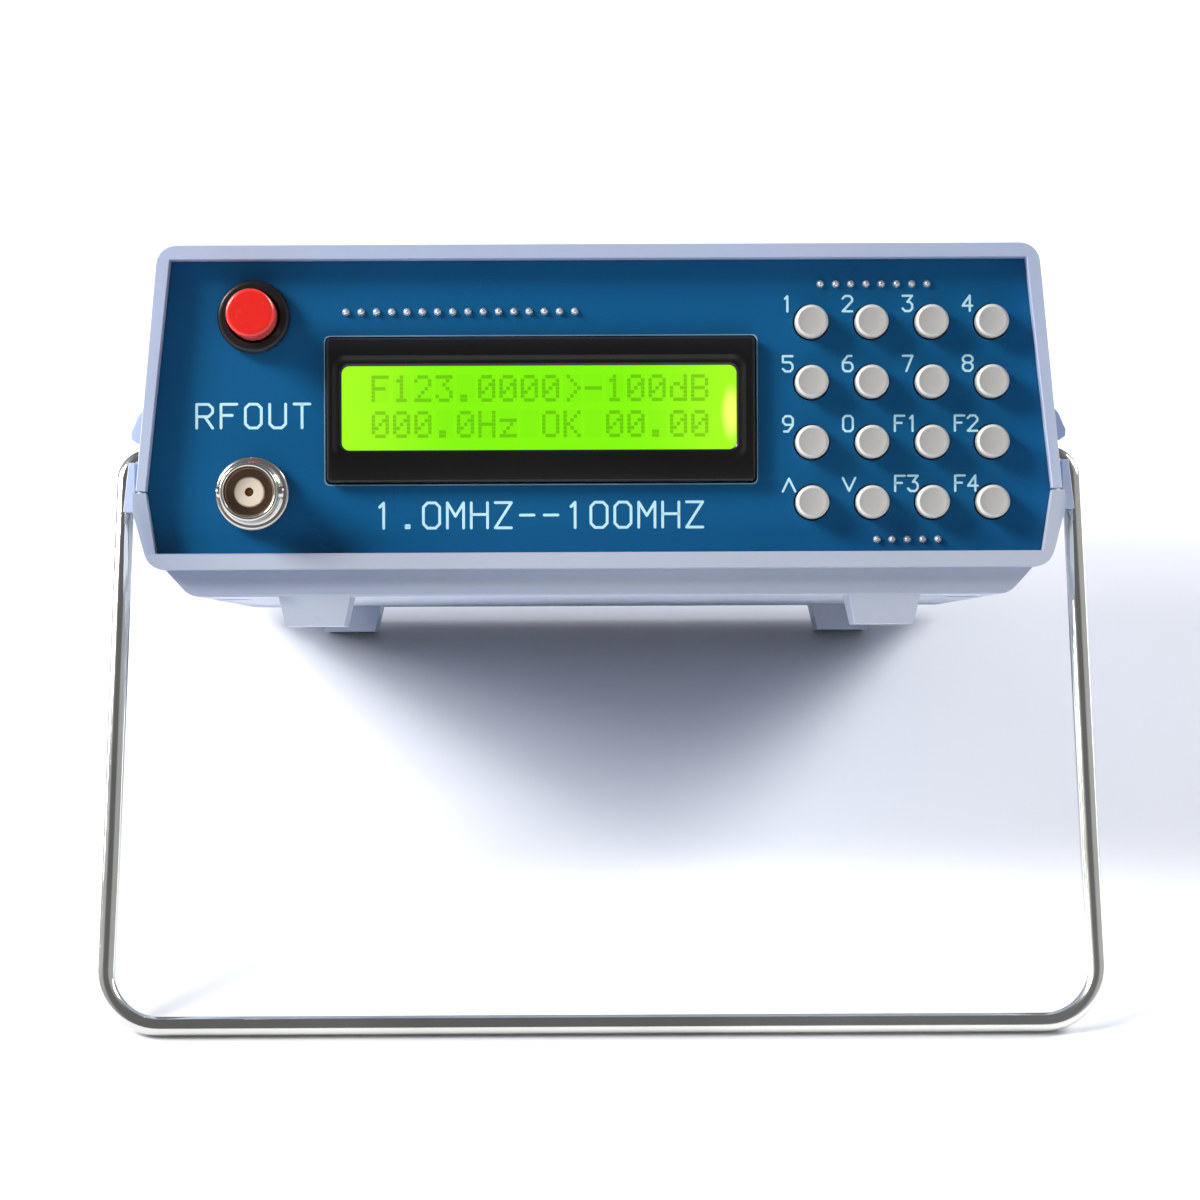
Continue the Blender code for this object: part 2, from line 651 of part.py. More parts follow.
def lcd_frame(stand):
    """Black metal can around the display, with its window."""
    half_x, half_z = LCD_FRAME_SIZE[0] / 2, LCD_FRAME_SIZE[1] / 2
    bm = bmesh.new()
    low = (LCD_X - half_x, LCD_FRONT, LCD_Z - half_z)
    add_box(bm, low, (LCD_X + half_x, LCD_FRAME_BACK, LCD_Z + half_z))
    frame = piece("lcd_frame", bm, "black_metal", stand)
    inside = bmesh.new()
    low = (LCD_X - half_x + 0.6, LCD_FRONT + 0.7, LCD_Z - half_z + 0.6)
    add_box(inside, low, (LCD_X + half_x - 0.6, LCD_FRAME_BACK + 1.0, LCD_Z + half_z - 0.6))
    combine(frame, "DIFFERENCE", inside, stand)
    window = bmesh.new()
    corners = rounded(window_corners(), (0, 1, 2, 3), 1.3)
    add_prism(window, corners, LCD_FRONT - 1.0, LCD_FRONT + 2.0)
    combine(frame, "DIFFERENCE", window, stand)


def window_corners():
    half_x, half_z = LCD_WINDOW[0] / 2, LCD_WINDOW[1] / 2
    x = LCD_X + LCD_WINDOW_OFFSET[0]
    z = LCD_Z + LCD_WINDOW_OFFSET[1]
    left, right = x - half_x, x + half_x
    low, high = z - half_z, z + half_z
    return [(left, low), (right, low), (right, high), (left, high)]


def lcd_layer(name, slot, front, back, stand):
    """One flat layer of the display stack, inside the can."""
    half_x = LCD_FRAME_SIZE[0] / 2 - 0.9
    half_z = LCD_FRAME_SIZE[1] / 2 - 0.9
    bm = bmesh.new()
    add_box(bm, (LCD_X - half_x, front, LCD_Z - half_z), (LCD_X + half_x, back, LCD_Z + half_z))
    piece(name, bm, slot, stand)


def lcd_board(stand):
    half_x, half_z = LCD_BOARD_SIZE[0] / 2, LCD_BOARD_SIZE[1] / 2
    bm = bmesh.new()
    low = (LCD_X - half_x, LCD_BOARD_Y, LCD_Z - half_z)
    add_box(bm, low, (LCD_X + half_x, LCD_BOARD_Y + PANEL_THICK, LCD_Z + half_z))
    board = piece("lcd_board", bm, "board_green", stand)
    cuts = bmesh.new()
    for centre in LCD_PINS:
        add_rod(cuts, centre, PIN_HOLE_RADIUS, LCD_BOARD_Y - 1.0, LCD_BOARD_Y + 3.0, "Y", HOLE_STEPS)
    combine(board, "DIFFERENCE", cuts, stand)


def power_button(stand):
    """Red cap, the latching switch that it slides in, and the nut that holds the switch."""
    centre = (BUTTON_X, BUTTON_Z)
    face = PANEL_FRONT - BUTTON_PROUD
    seat = PANEL_FRONT - GAP
    cap = bmesh.new()
    profile = [
        (0.0, face),
        (BUTTON_RADIUS - 0.7, face),
        (BUTTON_RADIUS, face + 0.7),
        (BUTTON_RADIUS, face + BUTTON_LENGTH),
        (0.0, face + BUTTON_LENGTH),
    ]
    add_turned(cap, profile, centre)
    piece("power_button_cap", cap, "red_plastic", stand, (BUTTON_X, face, BUTTON_Z))
    switch = bmesh.new()
    bore = BUTTON_RADIUS + 0.35
    profile = [
        (bore, seat - 2.2),
        (5.5, seat - 2.2),
        (6.1, seat - 1.6),
        (6.1, seat),
        (5.0, seat),
        (5.0, 11.0),
        (5.9, 11.0),
        (5.9, 24.0),
        (0.0, 24.0),
        (0.0, 11.6),
        (bore, 11.6),
    ]
    add_turned(switch, profile, centre)
    body = piece("power_switch", switch, "black_plastic", stand)
    terminals = bmesh.new()
    for x in (-2.5, 2.5):
        middle = BUTTON_X + x
        add_box(terminals, (middle - 1.0, 23.0, BUTTON_Z - 0.3), (middle + 1.0, 29.0, BUTTON_Z + 0.3))
    combine(body, "UNION", terminals, stand)
    nut_ring("power_switch_nut", centre, 5.0, 7.4, BEHIND_PANEL, 2.0, "black_plastic", stand)


def nut_ring(name, centre, thread_radius, outer_radius, front, thickness, slot, stand):
    """Hexagonal nut round a threaded barrel, along Y."""
    bm = bmesh.new()
    add_rod(bm, centre, outer_radius, front, front + thickness, "Y", 6)
    nut = piece(name, bm, slot, stand)
    hole = bmesh.new()
    add_rod(hole, centre, thread_radius + GAP, front - 1.0, front + thickness + 1.0)
    combine(nut, "DIFFERENCE", hole, stand)


def output_socket(stand):
    """Bayonet socket: shell with two studs, white insulator, gold contact, and its nut and tag washer."""
    centre = (SOCKET_X, SOCKET_Z)
    face = PANEL_FRONT - SOCKET_PROUD
    seat = PANEL_FRONT - GAP
    shell = bmesh.new()
    profile = [
        (4.15, face),
        (4.6, face),
        (4.85, face + 0.3),
        (4.85, seat - 1.8),
        (6.25, seat - 1.8),
        (6.25, seat),
        (4.75, seat),
        (4.75, 14.0),
        (2.85, 14.0),
        (2.85, 3.0),
        (4.15, 3.0),
    ]
    add_turned(shell, profile, centre)
    body = piece("bnc_shell", shell, "nickel", stand)
    studs = bmesh.new()
    for side in (-1.0, 1.0):
        low, high = sorted((SOCKET_X + side * 4.5, SOCKET_X + side * 5.6))
        add_rod(studs, (face + 4.0, SOCKET_Z), 1.0, low, high, "X", HOLE_STEPS)
    combine(body, "UNION", studs, stand)
    insulator = bmesh.new()
    profile = [(1.35, face + 1.6), (2.5, face + 1.6), (2.5, 15.0), (1.35, 15.0)]
    add_turned(insulator, profile, centre, "Y", SMALL_STEPS)
    piece("bnc_insulator", insulator, "insulator_white", stand)
    contact = bmesh.new()
    profile = [(0.5, face + 2.0), (1.0, face + 2.0), (1.0, 18.0)]
    profile += [(0.0, 18.0), (0.0, face + 6.0), (0.5, face + 6.0)]
    add_turned(contact, profile, centre, "Y", HOLE_STEPS)
    piece("bnc_contact", contact, "gold", stand)
    washer = bmesh.new()
    inner = 4.75 + GAP
    rear = BEHIND_PANEL + 0.6
    profile = [(inner, BEHIND_PANEL), (7.0, BEHIND_PANEL), (7.0, rear), (inner, rear)]
    add_turned(washer, profile, centre)
    piece("bnc_washer", washer, "zinc_steel", stand)
    nut_ring("bnc_nut", centre, 4.75, 7.3, BEHIND_PANEL + 0.9, 2.2, "nickel", stand)


def main_board(stand):
    """Board on the floor pillars, with four screws."""
    bm = bmesh.new()
    low = (-BOARD_HALF_X, BOARD_FRONT_Y, BOARD_Z)
    add_box(bm, low, (BOARD_HALF_X, BOARD_BACK_Y, BOARD_TOP))
    board = piece("main_board", bm, "board_green", stand)
    cuts = bmesh.new()
    number = 0
    for x in (-BOARD_POST_X, BOARD_POST_X):
        for y in BOARD_POST_YS:
            number += 1
            add_rod(cuts, (x, y), 1.5, BOARD_Z - 1.0, BOARD_TOP + 1.0, "Z", HOLE_STEPS)
            screw(f"board_screw_{number}", (x, y), 1.15, 2.4, ON_BOARD, ON_BOARD + 1.6, 9.0, stand)
    combine(board, "DIFFERENCE", cuts, stand)


def screw(name, centre, radius, head_radius, seat, head_end, tip, stand):
    """Pan-head screw along Z with a cross recess in its head."""
    lift = math.copysign(1.0, head_end - seat)
    profile = [
        (0.0, tip),
        (radius * 0.6, tip),
        (radius, tip + lift),
        (radius, seat),
        (head_radius, seat),
        (head_radius, head_end - 0.5 * lift),
        (head_radius - 0.5, head_end),
        (0.0, head_end),
    ]
    bm = bmesh.new()
    add_turned(bm, profile, centre, "Z", SMALL_STEPS)
    body = piece(name, bm, "zinc_steel", stand)
    cross = bmesh.new()
    long, short = head_radius * 0.62, 0.35
    x, y = centre
    low, high = sorted((head_end + lift, head_end - 0.9 * lift))
    outline = [
        (x - short, y - long),
        (x + short, y - long),
        (x + short, y - short),
        (x + long, y - short),
        (x + long, y + short),
        (x + short, y + short),
        (x + short, y + long),
        (x - short, y + long),
        (x - short, y + short),
        (x - long, y + short),
        (x - long, y - short),
        (x - short, y - short),
    ]
    add_prism(cross, outline, low, high, "Z")
    combine(body, "DIFFERENCE", cross, stand)


def case_screws(stand):
    """Four screws up through the floor sockets into the upper half's pillars."""
    seat = CASE_SCREW_HEAD_Z
    for number, centre in enumerate(screw_posts(), 1):
        name = f"case_screw_{number}"
        head, tip = seat - 2.0, seat + CASE_SCREW_LENGTH
        screw(name, centre, CASE_SCREW_RADIUS, CASE_SCREW_HEAD_RADIUS, seat, head, tip, stand)


def shield_can(stand):
    """Tinplate box, open below, over the radio-frequency stage."""
    low = (-48.0, 45.0, ON_BOARD)
    high = (-6.0, 97.0, ON_BOARD + 14.0)
    bm = bmesh.new()
    add_box(bm, low, high)
    can = piece("shield_can", bm, "tinplate", stand)
    inside = bmesh.new()
    wall = 0.6
    inner_low = (low[0] + wall, low[1] + wall, low[2] - 1.0)
    inner_high = (high[0] - wall, high[1] - wall, high[2] - wall)
    add_box(inside, inner_low, inner_high)
    combine(can, "DIFFERENCE", inside, stand)


def microcontroller(stand):
    """Dual-in-line controller with fourteen legs on each side."""
    centre_x, front, length = 22.0, 45.0, 35.5
    bm = bmesh.new()
    add_box(bm, (centre_x - 3.4, front, ON_BOARD + 1.0), (centre_x + 3.4, front + length, ON_BOARD + 4.4))
    chip = piece("microcontroller", bm, "black_plastic", stand)
    legs = bmesh.new()
    for side in (-1.0, 1.0):
        for step in range(14):
            y = front + 1.2 + step * PIN_PITCH
            inner, outer = sorted((centre_x + side * 3.0, centre_x + side * 4.1))
            add_box(legs, (inner, y - 0.4, ON_BOARD), (outer, y + 0.4, ON_BOARD + 2.6))
    combine(chip, "UNION", legs, stand)


def supply_parts(stand):
    """Regulator, its finned heat sink, the smoothing capacitor and the reference oscillator."""
    regulator = bmesh.new()
    add_box(regulator, (36.0, 92.0, ON_BOARD + 3.0), (46.0, 96.4, ON_BOARD + 12.0))
    body = piece("voltage_regulator", regulator, "black_plastic", stand)
    legs = bmesh.new()
    for x in (38.5, 41.0, 43.5):
        add_box(legs, (x - 0.4, 93.8, ON_BOARD), (x + 0.4, 94.6, ON_BOARD + 4.0))
    combine(body, "UNION", legs, stand)
    sink = bmesh.new()
    add_box(sink, (32.0, 96.7, ON_BOARD), (50.0, 98.7, ON_BOARD + 22.0))
    plate = piece("heat_sink", sink, "aluminium", stand)
    fins = bmesh.new()
    for step in range(5):
        x = 32.0 + step * 4.25
        add_box(fins, (x, 98.0, ON_BOARD), (x + 1.0, 108.0, ON_BOARD + 22.0))
    combine(plate, "UNION", fins, stand)
    capacitor = bmesh.new()
    shoulder, top = ON_BOARD + 16.0, ON_BOARD + 16.6
    profile = [(0.0, ON_BOARD), (5.0, ON_BOARD), (5.0, shoulder), (4.4, top), (0.0, top)]
    add_turned(capacitor, profile, (20.0, 100.0), "Z", SMALL_STEPS)
    piece("smoothing_capacitor", capacitor, "black_plastic", stand)
    oscillator = bmesh.new()
    add_box(oscillator, (-2.0, 52.0, ON_BOARD), (10.0, 72.0, ON_BOARD + 7.0))
    piece("reference_oscillator", oscillator, "tinplate", stand)


def supply_jack(stand):
    """Round supply inlet on the rear panel, with its centre pin and its nut inside."""
    outside = DEPTH - PANEL_FRONT
    inside = DEPTH - PANEL_BACK
    profile = [
        (2.9, outside + 2.2),
        (5.5, outside + 2.2),
        (5.5, outside + GAP),
        (4.0, outside + GAP),
        (4.0, inside - 10.0),
        (0.0, inside - 10.0),
        (0.0, inside - 8.5),
        (2.9, inside - 8.5),
    ]
    bm = bmesh.new()
    add_turned(bm, profile, (JACK_X, JACK_Z))
    jack = piece("supply_jack", bm, "black_plastic", stand)
    tags = bmesh.new()
    add_box(tags, (JACK_X - 1.2, inside - 14.0, JACK_Z - 0.4), (JACK_X + 1.2, inside - 9.5, JACK_Z + 0.4))
    combine(jack, "UNION", tags, stand)
    pin = bmesh.new()
    add_rod(pin, (JACK_X, JACK_Z), 1.05, inside - 8.2, outside + 1.0, "Y", HOLE_STEPS)
    piece("supply_jack_pin", pin, "nickel", stand)
    nut_ring("supply_jack_nut", (JACK_X, JACK_Z), 4.0, 6.4, inside - GAP - 2.0, 2.0, "nickel", stand)


def lead(name, points, radius, slot, stand):
    """Insulated lead along a smooth route between two fixed ends."""
    curve = bpy.data.curves.new(name, "CURVE")
    curve.dimensions = "3D"
    curve.bevel_depth = radius * MM
    curve.bevel_resolution = 2
    curve.use_fill_caps = True
    curve.render_resolution_u = 0
    spline = curve.splines.new("POLY")
    smooth = smooth_route(points, 3)
    spline.points.add(len(smooth) - 1)
    for spline_point, point in zip(spline.points, smooth):
        spline_point.co = (*[value * MM for value in point], 1.0)
    obj = bpy.data.objects.new(name, curve)
    bpy.context.scene.collection.objects.link(obj)
    obj.parent = stand
    curve.materials.append(material(slot))


def curve_value(t, values):
    """One coordinate of a Catmull-Rom span at share t of the way."""
    p, q, r, s = values
    squared = 2 * p - 5 * q + 4 * r - s
    cubed = 3 * q - p - 3 * r + s
    return 0.5 * (2 * q + (r - p) * t + squared * t**2 + cubed * t**3)


def smooth_route(points, steps):
    """Points along a Catmull-Rom curve through the given ones."""
    padded = [points[0]] + points + [points[-1]]
    route = []
    for a, b, c, d in zip(padded, padded[1:], padded[2:], padded[3:]):
        for step in range(steps):
            route.append([curve_value(step / steps, values) for values in zip(a, b, c, d)])
    return route + [points[-1]]


def leads(stand):
    """The coaxial lead from the socket to the shield can and the supply lead from the jack to the board."""
    coax = [(-57.6, 18.4, 22.0), (-57.4, 24.0, 22.2), (-53.0, 32.0, 23.5)]
    coax += [(-40.0, 39.0, 23.0), (-33.0, 43.0, 22.0)]
    lead("coax_lead", coax, 1.2, "black_plastic", stand)
    supply = [(45.0, 115.6, 30.0), (44.0, 112.5, 29.0), (36.0, 112.0, 23.0), (30.0, 111.5, 18.0)]
    lead("supply_lead", supply, 0.8, "red_plastic", stand)


def main():
    clear_scene()
    stand = make_stand()
    top_shell(stand)
    bottom_shell(stand)
    front_panel(stand)
    rear_panel(stand)
    bail_handle(stand)
    key_caps(stand)
    keypad_board(stand)
    pin_header("lcd_header", LCD_PINS, LCD_BOARD_Y, LCD_BOARD_Y + 3.0, stand)
    pin_header("keypad_header", KEYPAD_PINS, KEYPAD_Y, KEYPAD_Y + 3.0, stand)
    pin_header("lower_header", LOWER_PINS, KEYPAD_Y, KEYPAD_Y + 3.0, stand)
    lcd_frame(stand)
    lcd_layer("lcd_glass", "lcd_green", LCD_FRONT + 1.0, LCD_FRONT + 2.8, stand)
    lcd_layer("lcd_backlight", "backlight_white", LCD_FRONT + 3.1, LCD_FRAME_BACK, stand)
    lcd_board(stand)
    power_button(stand)
    output_socket(stand)
    main_board(stand)
    case_screws(stand)
    shield_can(stand)
    microcontroller(stand)
    supply_parts(stand)
    supply_jack(stand)
    leads(stand)


main()
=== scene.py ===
import json
import math

import bmesh
import bpy
from mathutils import Matrix, Vector


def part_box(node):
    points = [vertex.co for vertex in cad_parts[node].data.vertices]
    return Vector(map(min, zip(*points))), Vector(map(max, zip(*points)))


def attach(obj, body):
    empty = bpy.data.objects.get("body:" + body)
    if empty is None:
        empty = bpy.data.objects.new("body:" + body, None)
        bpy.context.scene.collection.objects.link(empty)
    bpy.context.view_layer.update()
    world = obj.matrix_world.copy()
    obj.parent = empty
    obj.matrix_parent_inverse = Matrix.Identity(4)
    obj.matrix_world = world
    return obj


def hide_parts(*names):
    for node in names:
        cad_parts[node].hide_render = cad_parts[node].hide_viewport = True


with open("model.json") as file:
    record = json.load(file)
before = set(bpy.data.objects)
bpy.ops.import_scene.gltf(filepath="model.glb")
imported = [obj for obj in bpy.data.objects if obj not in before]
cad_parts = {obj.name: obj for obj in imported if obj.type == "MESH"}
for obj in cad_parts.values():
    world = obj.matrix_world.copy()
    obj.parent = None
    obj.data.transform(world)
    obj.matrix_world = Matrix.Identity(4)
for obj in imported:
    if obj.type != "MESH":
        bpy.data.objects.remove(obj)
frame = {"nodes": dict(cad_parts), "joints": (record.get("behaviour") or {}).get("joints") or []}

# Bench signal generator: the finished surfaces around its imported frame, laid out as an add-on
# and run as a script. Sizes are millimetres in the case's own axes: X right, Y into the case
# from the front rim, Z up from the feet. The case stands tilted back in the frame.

bl_info = {
    "name": "Bench Signal Generator",
    "version": (1, 0, 0),
    "blender": (4, 5, 0),
    "location": "3D View > Sidebar > Generator",
    "description": "Builds the finished case, panel, display, keys, socket and bail",
    "category": "Object",
}

MM = 0.001
JOINTS = {joint["name"]: joint for joint in frame["joints"]}
CASE_BODY = "case"
BAIL_BODY = "bail"
BUTTON_BODY = "power_button"

# Places of the pieces, across, into the case and up
PIVOT = Vector((0.0, 15.0, 28.5))
PANEL_FRONT = 4.0
PANEL_BACK = 5.6
KEY_ROWS = (
    (("key_1", "1"), ("key_2", "2"), ("key_3", "3"), ("key_4", "4")),
    (("key_5", "5"), ("key_6", "6"), ("key_7", "7"), ("key_8", "8")),
    (("key_9", "9"), ("key_0", "0"), ("key_f1", "F1"), ("key_f2", "F2")),
    (("key_up", "^"), ("key_down", "v"), ("key_f3", "F3"), ("key_f4", "F4")),
)
KEY_FIRST = (35.4, 50.2)
KEY_PITCH = 10.0
KEY_RADIUS = 2.75
KEY_HOLE_RADIUS = 3.05
PIN_PITCH = 2.54
PIN_ROWS = ((-42.0, 52.2, 16), (37.0, 56.6, 8), (46.2, 14.0, 5))  # first pin, height, count
BUTTON = (-57.3, 51.4)
BUTTON_RADIUS = 4.0
BUTTON_HOLE_RADIUS = 5.3
SOCKET = (-57.6, 22.0)
SOCKET_HOLE_RADIUS = 5.2
STAND_OUT_FACE = PANEL_FRONT - 10.0  # front of the button and the socket
COLLAR_SEAT = PANEL_FRONT - 0.3  # where their collars meet the panel
# The lower case half's colour is scaled by this factor: painted shade of the lower half.
LOWER_HALF_PAINTED_SHADE = 0.81
PAINTED_HIGHLIGHT_WHITE = (1.0, 1.0, 1.0, 1.0)


def case_matrix():
    """Case millimetres to frame metres, from the button's travel and the bail's hinge."""
    right = Vector((1.0, 0.0, 0.0))
    depth = Vector(JOINTS["power_button_press"]["axis"]).normalized()
    up = right.cross(depth)
    turn = Matrix((right, depth, up)).transposed()
    origin = Vector(JOINTS["bail_hinge"]["pos_m"]) - turn @ (PIVOT * MM)
    return Matrix.Translation(origin) @ turn.to_4x4() @ Matrix.Scale(MM, 4)


CASE = case_matrix()


# ---------------------------------------------------------------- shader groups and materials


def new_group(name, inputs, outputs):
    """An empty shader group with its sockets; returns the tree and its two end nodes."""
    tree = bpy.data.node_groups.new(name, "ShaderNodeTree")
    for label, kind, default in inputs:
        socket = tree.interface.new_socket(name=label, in_out="INPUT", socket_type=kind)
        socket.default_value = default
    for label, kind in outputs:
        tree.interface.new_socket(name=label, in_out="OUTPUT", socket_type=kind)
    start = tree.nodes.new("NodeGroupInput")
    end = tree.nodes.new("NodeGroupOutput")
    return tree, start, end


def value_node(tree, operation, first, second):
    """A Math node whose two inputs are sockets or numbers."""
    node = tree.nodes.new("ShaderNodeMath")
    node.operation = operation
    for socket, given in zip(node.inputs, (first, second)):
        if isinstance(given, (int, float)):
            socket.default_value = given
        else:
            tree.links.new(given, socket)
    return node.outputs[0]


def ranged(tree, source, low, high, to_low=0.0, to_high=1.0):
    """A smooth Map Range from one span of values to another."""
    node = tree.nodes.new("ShaderNodeMapRange")
    node.interpolation_type = "SMOOTHSTEP"
    tree.links.new(source, node.inputs["Value"])
    node.inputs["From Min"].default_value = low
    node.inputs["From Max"].default_value = high
    node.inputs["To Min"].default_value = to_low
    node.inputs["To Max"].default_value = to_high
    return node.outputs["Result"]


def noise(tree, scale, detail=2.0):
    """Noise on Object coordinates; scale is a number or a socket, per metre."""
    place = tree.nodes.new("ShaderNodeTexCoord").outputs["Object"]
    node = tree.nodes.new("ShaderNodeTexNoise")
    tree.links.new(place, node.inputs["Vector"])
    node.inputs["Detail"].default_value = detail
    if isinstance(scale, (int, float)):
        node.inputs["Scale"].default_value = scale
    else:
        tree.links.new(scale, node.inputs["Scale"])
    return node.outputs[0]


def mixed(tree, factor, first, second):
    """A colour Mix whose factor and colours are sockets or constants."""
    node = tree.nodes.new("ShaderNodeMix")
    node.data_type = "RGBA"
    inputs = (node.inputs[0], node.inputs[6], node.inputs[7])
    for socket, given in zip(inputs, (factor, first, second)):
        if isinstance(given, bpy.types.NodeSocket):
            tree.links.new(given, socket)
        else:
            socket.default_value = given
    return node.outputs[2]


def surface_group():
    """Wear of every hard finish: fine grain, broad blotches and thin dust, with edges lightened
    towards white as a painted highlight.
    """
    made = bpy.data.node_groups.get("handled surface and painted edge highlight")
    if made:
        return made
    tree, start, end = new_group(
        "handled surface and painted edge highlight",
        (
            ("Colour", "NodeSocketColor", (0.8, 0.8, 0.8, 1.0)),
            ("Roughness", "NodeSocketFloat", 0.4),
            ("Grain Scale", "NodeSocketFloat", 2500.0),
            ("Grain", "NodeSocketFloat", 0.5),
            ("Blotches", "NodeSocketFloat", 0.05),
            ("Painted Edge Highlight", "NodeSocketFloat", 0.1),
            ("Dust", "NodeSocketFloat", 0.02),
        ),
        (
            ("Colour", "NodeSocketColor"),
            ("Roughness", "NodeSocketFloat"),
            ("Height", "NodeSocketFloat"),
        ),
    )
    blotch_scale, speck_scale, roughness_spread = 28.0, 900.0, 0.12
    dust_colour = (0.75, 0.74, 0.70, 1.0)
    grain = noise(tree, start.outputs["Grain Scale"], 3.0)
    broad = noise(tree, blotch_scale, 4.0)
    specks = ranged(tree, noise(tree, speck_scale, 1.0), 0.66, 0.74)
    either_way = ranged(tree, broad, 0.3, 0.7, -1.0, 1.0)
    shade = value_node(tree, "MULTIPLY", either_way, start.outputs["Blotches"])
    shade = value_node(tree, "ADD", shade, 1.0)
    scaled = tree.nodes.new("ShaderNodeVectorMath")
    scaled.operation = "SCALE"
    tree.links.new(start.outputs["Colour"], scaled.inputs[0])
    tree.links.new(shade, scaled.inputs["Scale"])
    # Painted highlight: sharp edges, found by pointiness, are mixed towards white as if catching
    # the light.
    point = tree.nodes.new("ShaderNodeNewGeometry").outputs["Pointiness"]
    painted_highlight_mask = ranged(tree, point, 0.51, 0.58)
    edge = value_node(tree, "MULTIPLY", painted_highlight_mask, start.outputs["Painted Edge Highlight"])
    with_painted_highlight = mixed(tree, edge, scaled.outputs[0], PAINTED_HIGHLIGHT_WHITE)
    dust = value_node(tree, "MULTIPLY", specks, start.outputs["Dust"])
    tree.links.new(mixed(tree, dust, with_painted_highlight, dust_colour), end.inputs["Colour"])
    rough = ranged(tree, broad, 0.3, 0.7, -0.5, 0.5)
    rough = value_node(tree, "MULTIPLY", rough, roughness_spread)
    rough = value_node(tree, "ADD", rough, start.outputs["Roughness"])
    tree.links.new(rough, end.inputs["Roughness"])
    height = value_node(tree, "MULTIPLY", grain, start.outputs["Grain"])
    tree.links.new(height, end.inputs["Height"])
    return tree


def principled(name):
    """A new material; returns it with its tree and its Principled shader."""
    made = bpy.data.materials.new(name)
    made.use_nodes = True
    return made, made.node_tree, made.node_tree.nodes["Principled BSDF"]


def finish_material(
    name, colour, roughness, metallic=0.0, grain_scale=2500.0, grain=0.5, blotches=0.05,
    edge=0.1, dust=0.03, bump=0.02, coat=0.0, specular=0.5,
):
    """One hard finish: the shared surface group feeding a Principled shader; edge sets the strength
    of its painted edge highlight.
    """
    made = bpy.data.materials.get(name)
    if made:
        return made
    made, tree, shader = principled(name)
    group = tree.nodes.new("ShaderNodeGroup")
    group.node_tree = surface_group()
    given = {
        "Colour": (*colour, 1.0),
        "Roughness": roughness,
        "Grain Scale": grain_scale,
        "Grain": grain,
        "Blotches": blotches,
        "Painted Edge Highlight": edge,
        "Dust": dust,
    }
    for label, value in given.items():
        group.inputs[label].default_value = value
    tree.links.new(group.outputs["Colour"], shader.inputs["Base Color"])
    tree.links.new(group.outputs["Roughness"], shader.inputs["Roughness"])
    shader.inputs["Metallic"].default_value = metallic
    shader.inputs["Coat Weight"].default_value = coat
    shader.inputs["Coat Roughness"].default_value = 0.08
    shader.inputs["Specular IOR Level"].default_value = specular
    normal = tree.nodes.new("ShaderNodeBump")
    normal.inputs["Strength"].default_value = 1.0
    normal.inputs["Distance"].default_value = bump * MM
    tree.links.new(group.outputs["Height"], normal.inputs["Height"])
    tree.links.new(normal.outputs["Normal"], shader.inputs["Normal"])
    return made


def settings():
    """The sizes and colours that a user can change."""
    return bpy.context.scene.generator_looks


# A shade below 1 gives a copy darkened as painted shade; edge=0.22 paints a highlight on the edges.
def case_plastic(name, shade):
    colour = [value * shade for value in settings().case_colour]
    return finish_material(
        name, colour, 0.42, grain_scale=1900.0, grain=1.0, blotches=0.02, edge=0.22, dust=0.02,
        bump=0.03)


def panel_blue():
    return finish_material(
        "blue solder resist", settings().panel_colour, 0.30, grain_scale=900.0, grain=0.8,
        blotches=0.02, edge=0.0, dust=0.0, bump=0.006, specular=0.25)


def silk_ink():
    return finish_material("pale cyan legend ink", (0.55, 0.88, 1.0), 0.5, grain=0.4, edge=0.0)


def bare_edge():
    return finish_material(
        "bare board edge", (0.20, 0.36, 0.46), 0.5, grain=0.6, blotches=0.3, edge=0.0)


# edge=0.55 paints the caps' lighter rim ring as a highlight.
def key_plastic():
    return finish_material(
        "warm grey key plastic", (0.46, 0.455, 0.435), 0.38, grain_scale=3200.0, grain=0.7,
        blotches=0.03, edge=0.55, dust=0.04, bump=0.012)


def red_plastic():
    return finish_material(
        "red button plastic", (0.76, 0.014, 0.008), 0.28, grain=0.3, blotches=0.04, edge=0.12,
        dust=0.02, bump=0.006, coat=0.4)


def black_plastic():
    return finish_material(
        "gloss black plastic", (0.008, 0.008, 0.009), 0.30, grain=0.3, blotches=0.2, edge=0.02,
        dust=0.02, bump=0.004, coat=0.05, specular=0.35)


def black_metal():
    return finish_material(
        "black lacquered steel", (0.004, 0.004, 0.0035), 0.20, grain=0.4, blotches=0.15,
        edge=0.03, dust=0.0, bump=0.004, specular=0.45)


def chrome():
    return finish_material(
        "bright chrome wire", (0.70, 0.70, 0.66), 0.13, metallic=1.0, grain_scale=1200.0,
        grain=0.3, blotches=0.10, edge=0.0, dust=0.0, bump=0.002)


def nickel():
    return finish_material(
        "bright nickel plate", (0.66, 0.63, 0.58), 0.17, metallic=1.0, grain=0.3, blotches=0.08,
        edge=0.0, dust=0.0, bump=0.003)


# Dark brown painted inside the nickel bore: painted shade and a painted brown reflection.
def painted_bore_shade():
    return finish_material(
        "painted shade and brown reflection of the bore", (0.36, 0.26, 0.19), 0.45, metallic=0.2, grain=0.6, blotches=0.3,
        edge=0.0)


def solder():
    return finish_material(
        "tinned solder", (0.72, 0.76, 0.80), 0.22, metallic=0.6, grain=0.6, blotches=0.15,
        edge=0.0, dust=0.0, bump=0.01)


def gold():
    return finish_material(
        "gold plate", (0.72, 0.46, 0.16), 0.25, metallic=1.0, grain=0.3, blotches=0.1, edge=0.0)


def insulator():
    return finish_material(
        "ivory insulator", (0.82, 0.72, 0.58), 0.45, grain=0.4, blotches=0.06, edge=0.0)


def zinc_steel():
    return finish_material(
        "zinc plated steel", (0.56, 0.56, 0.57), 0.30, metallic=1.0, grain=0.6, blotches=0.15)


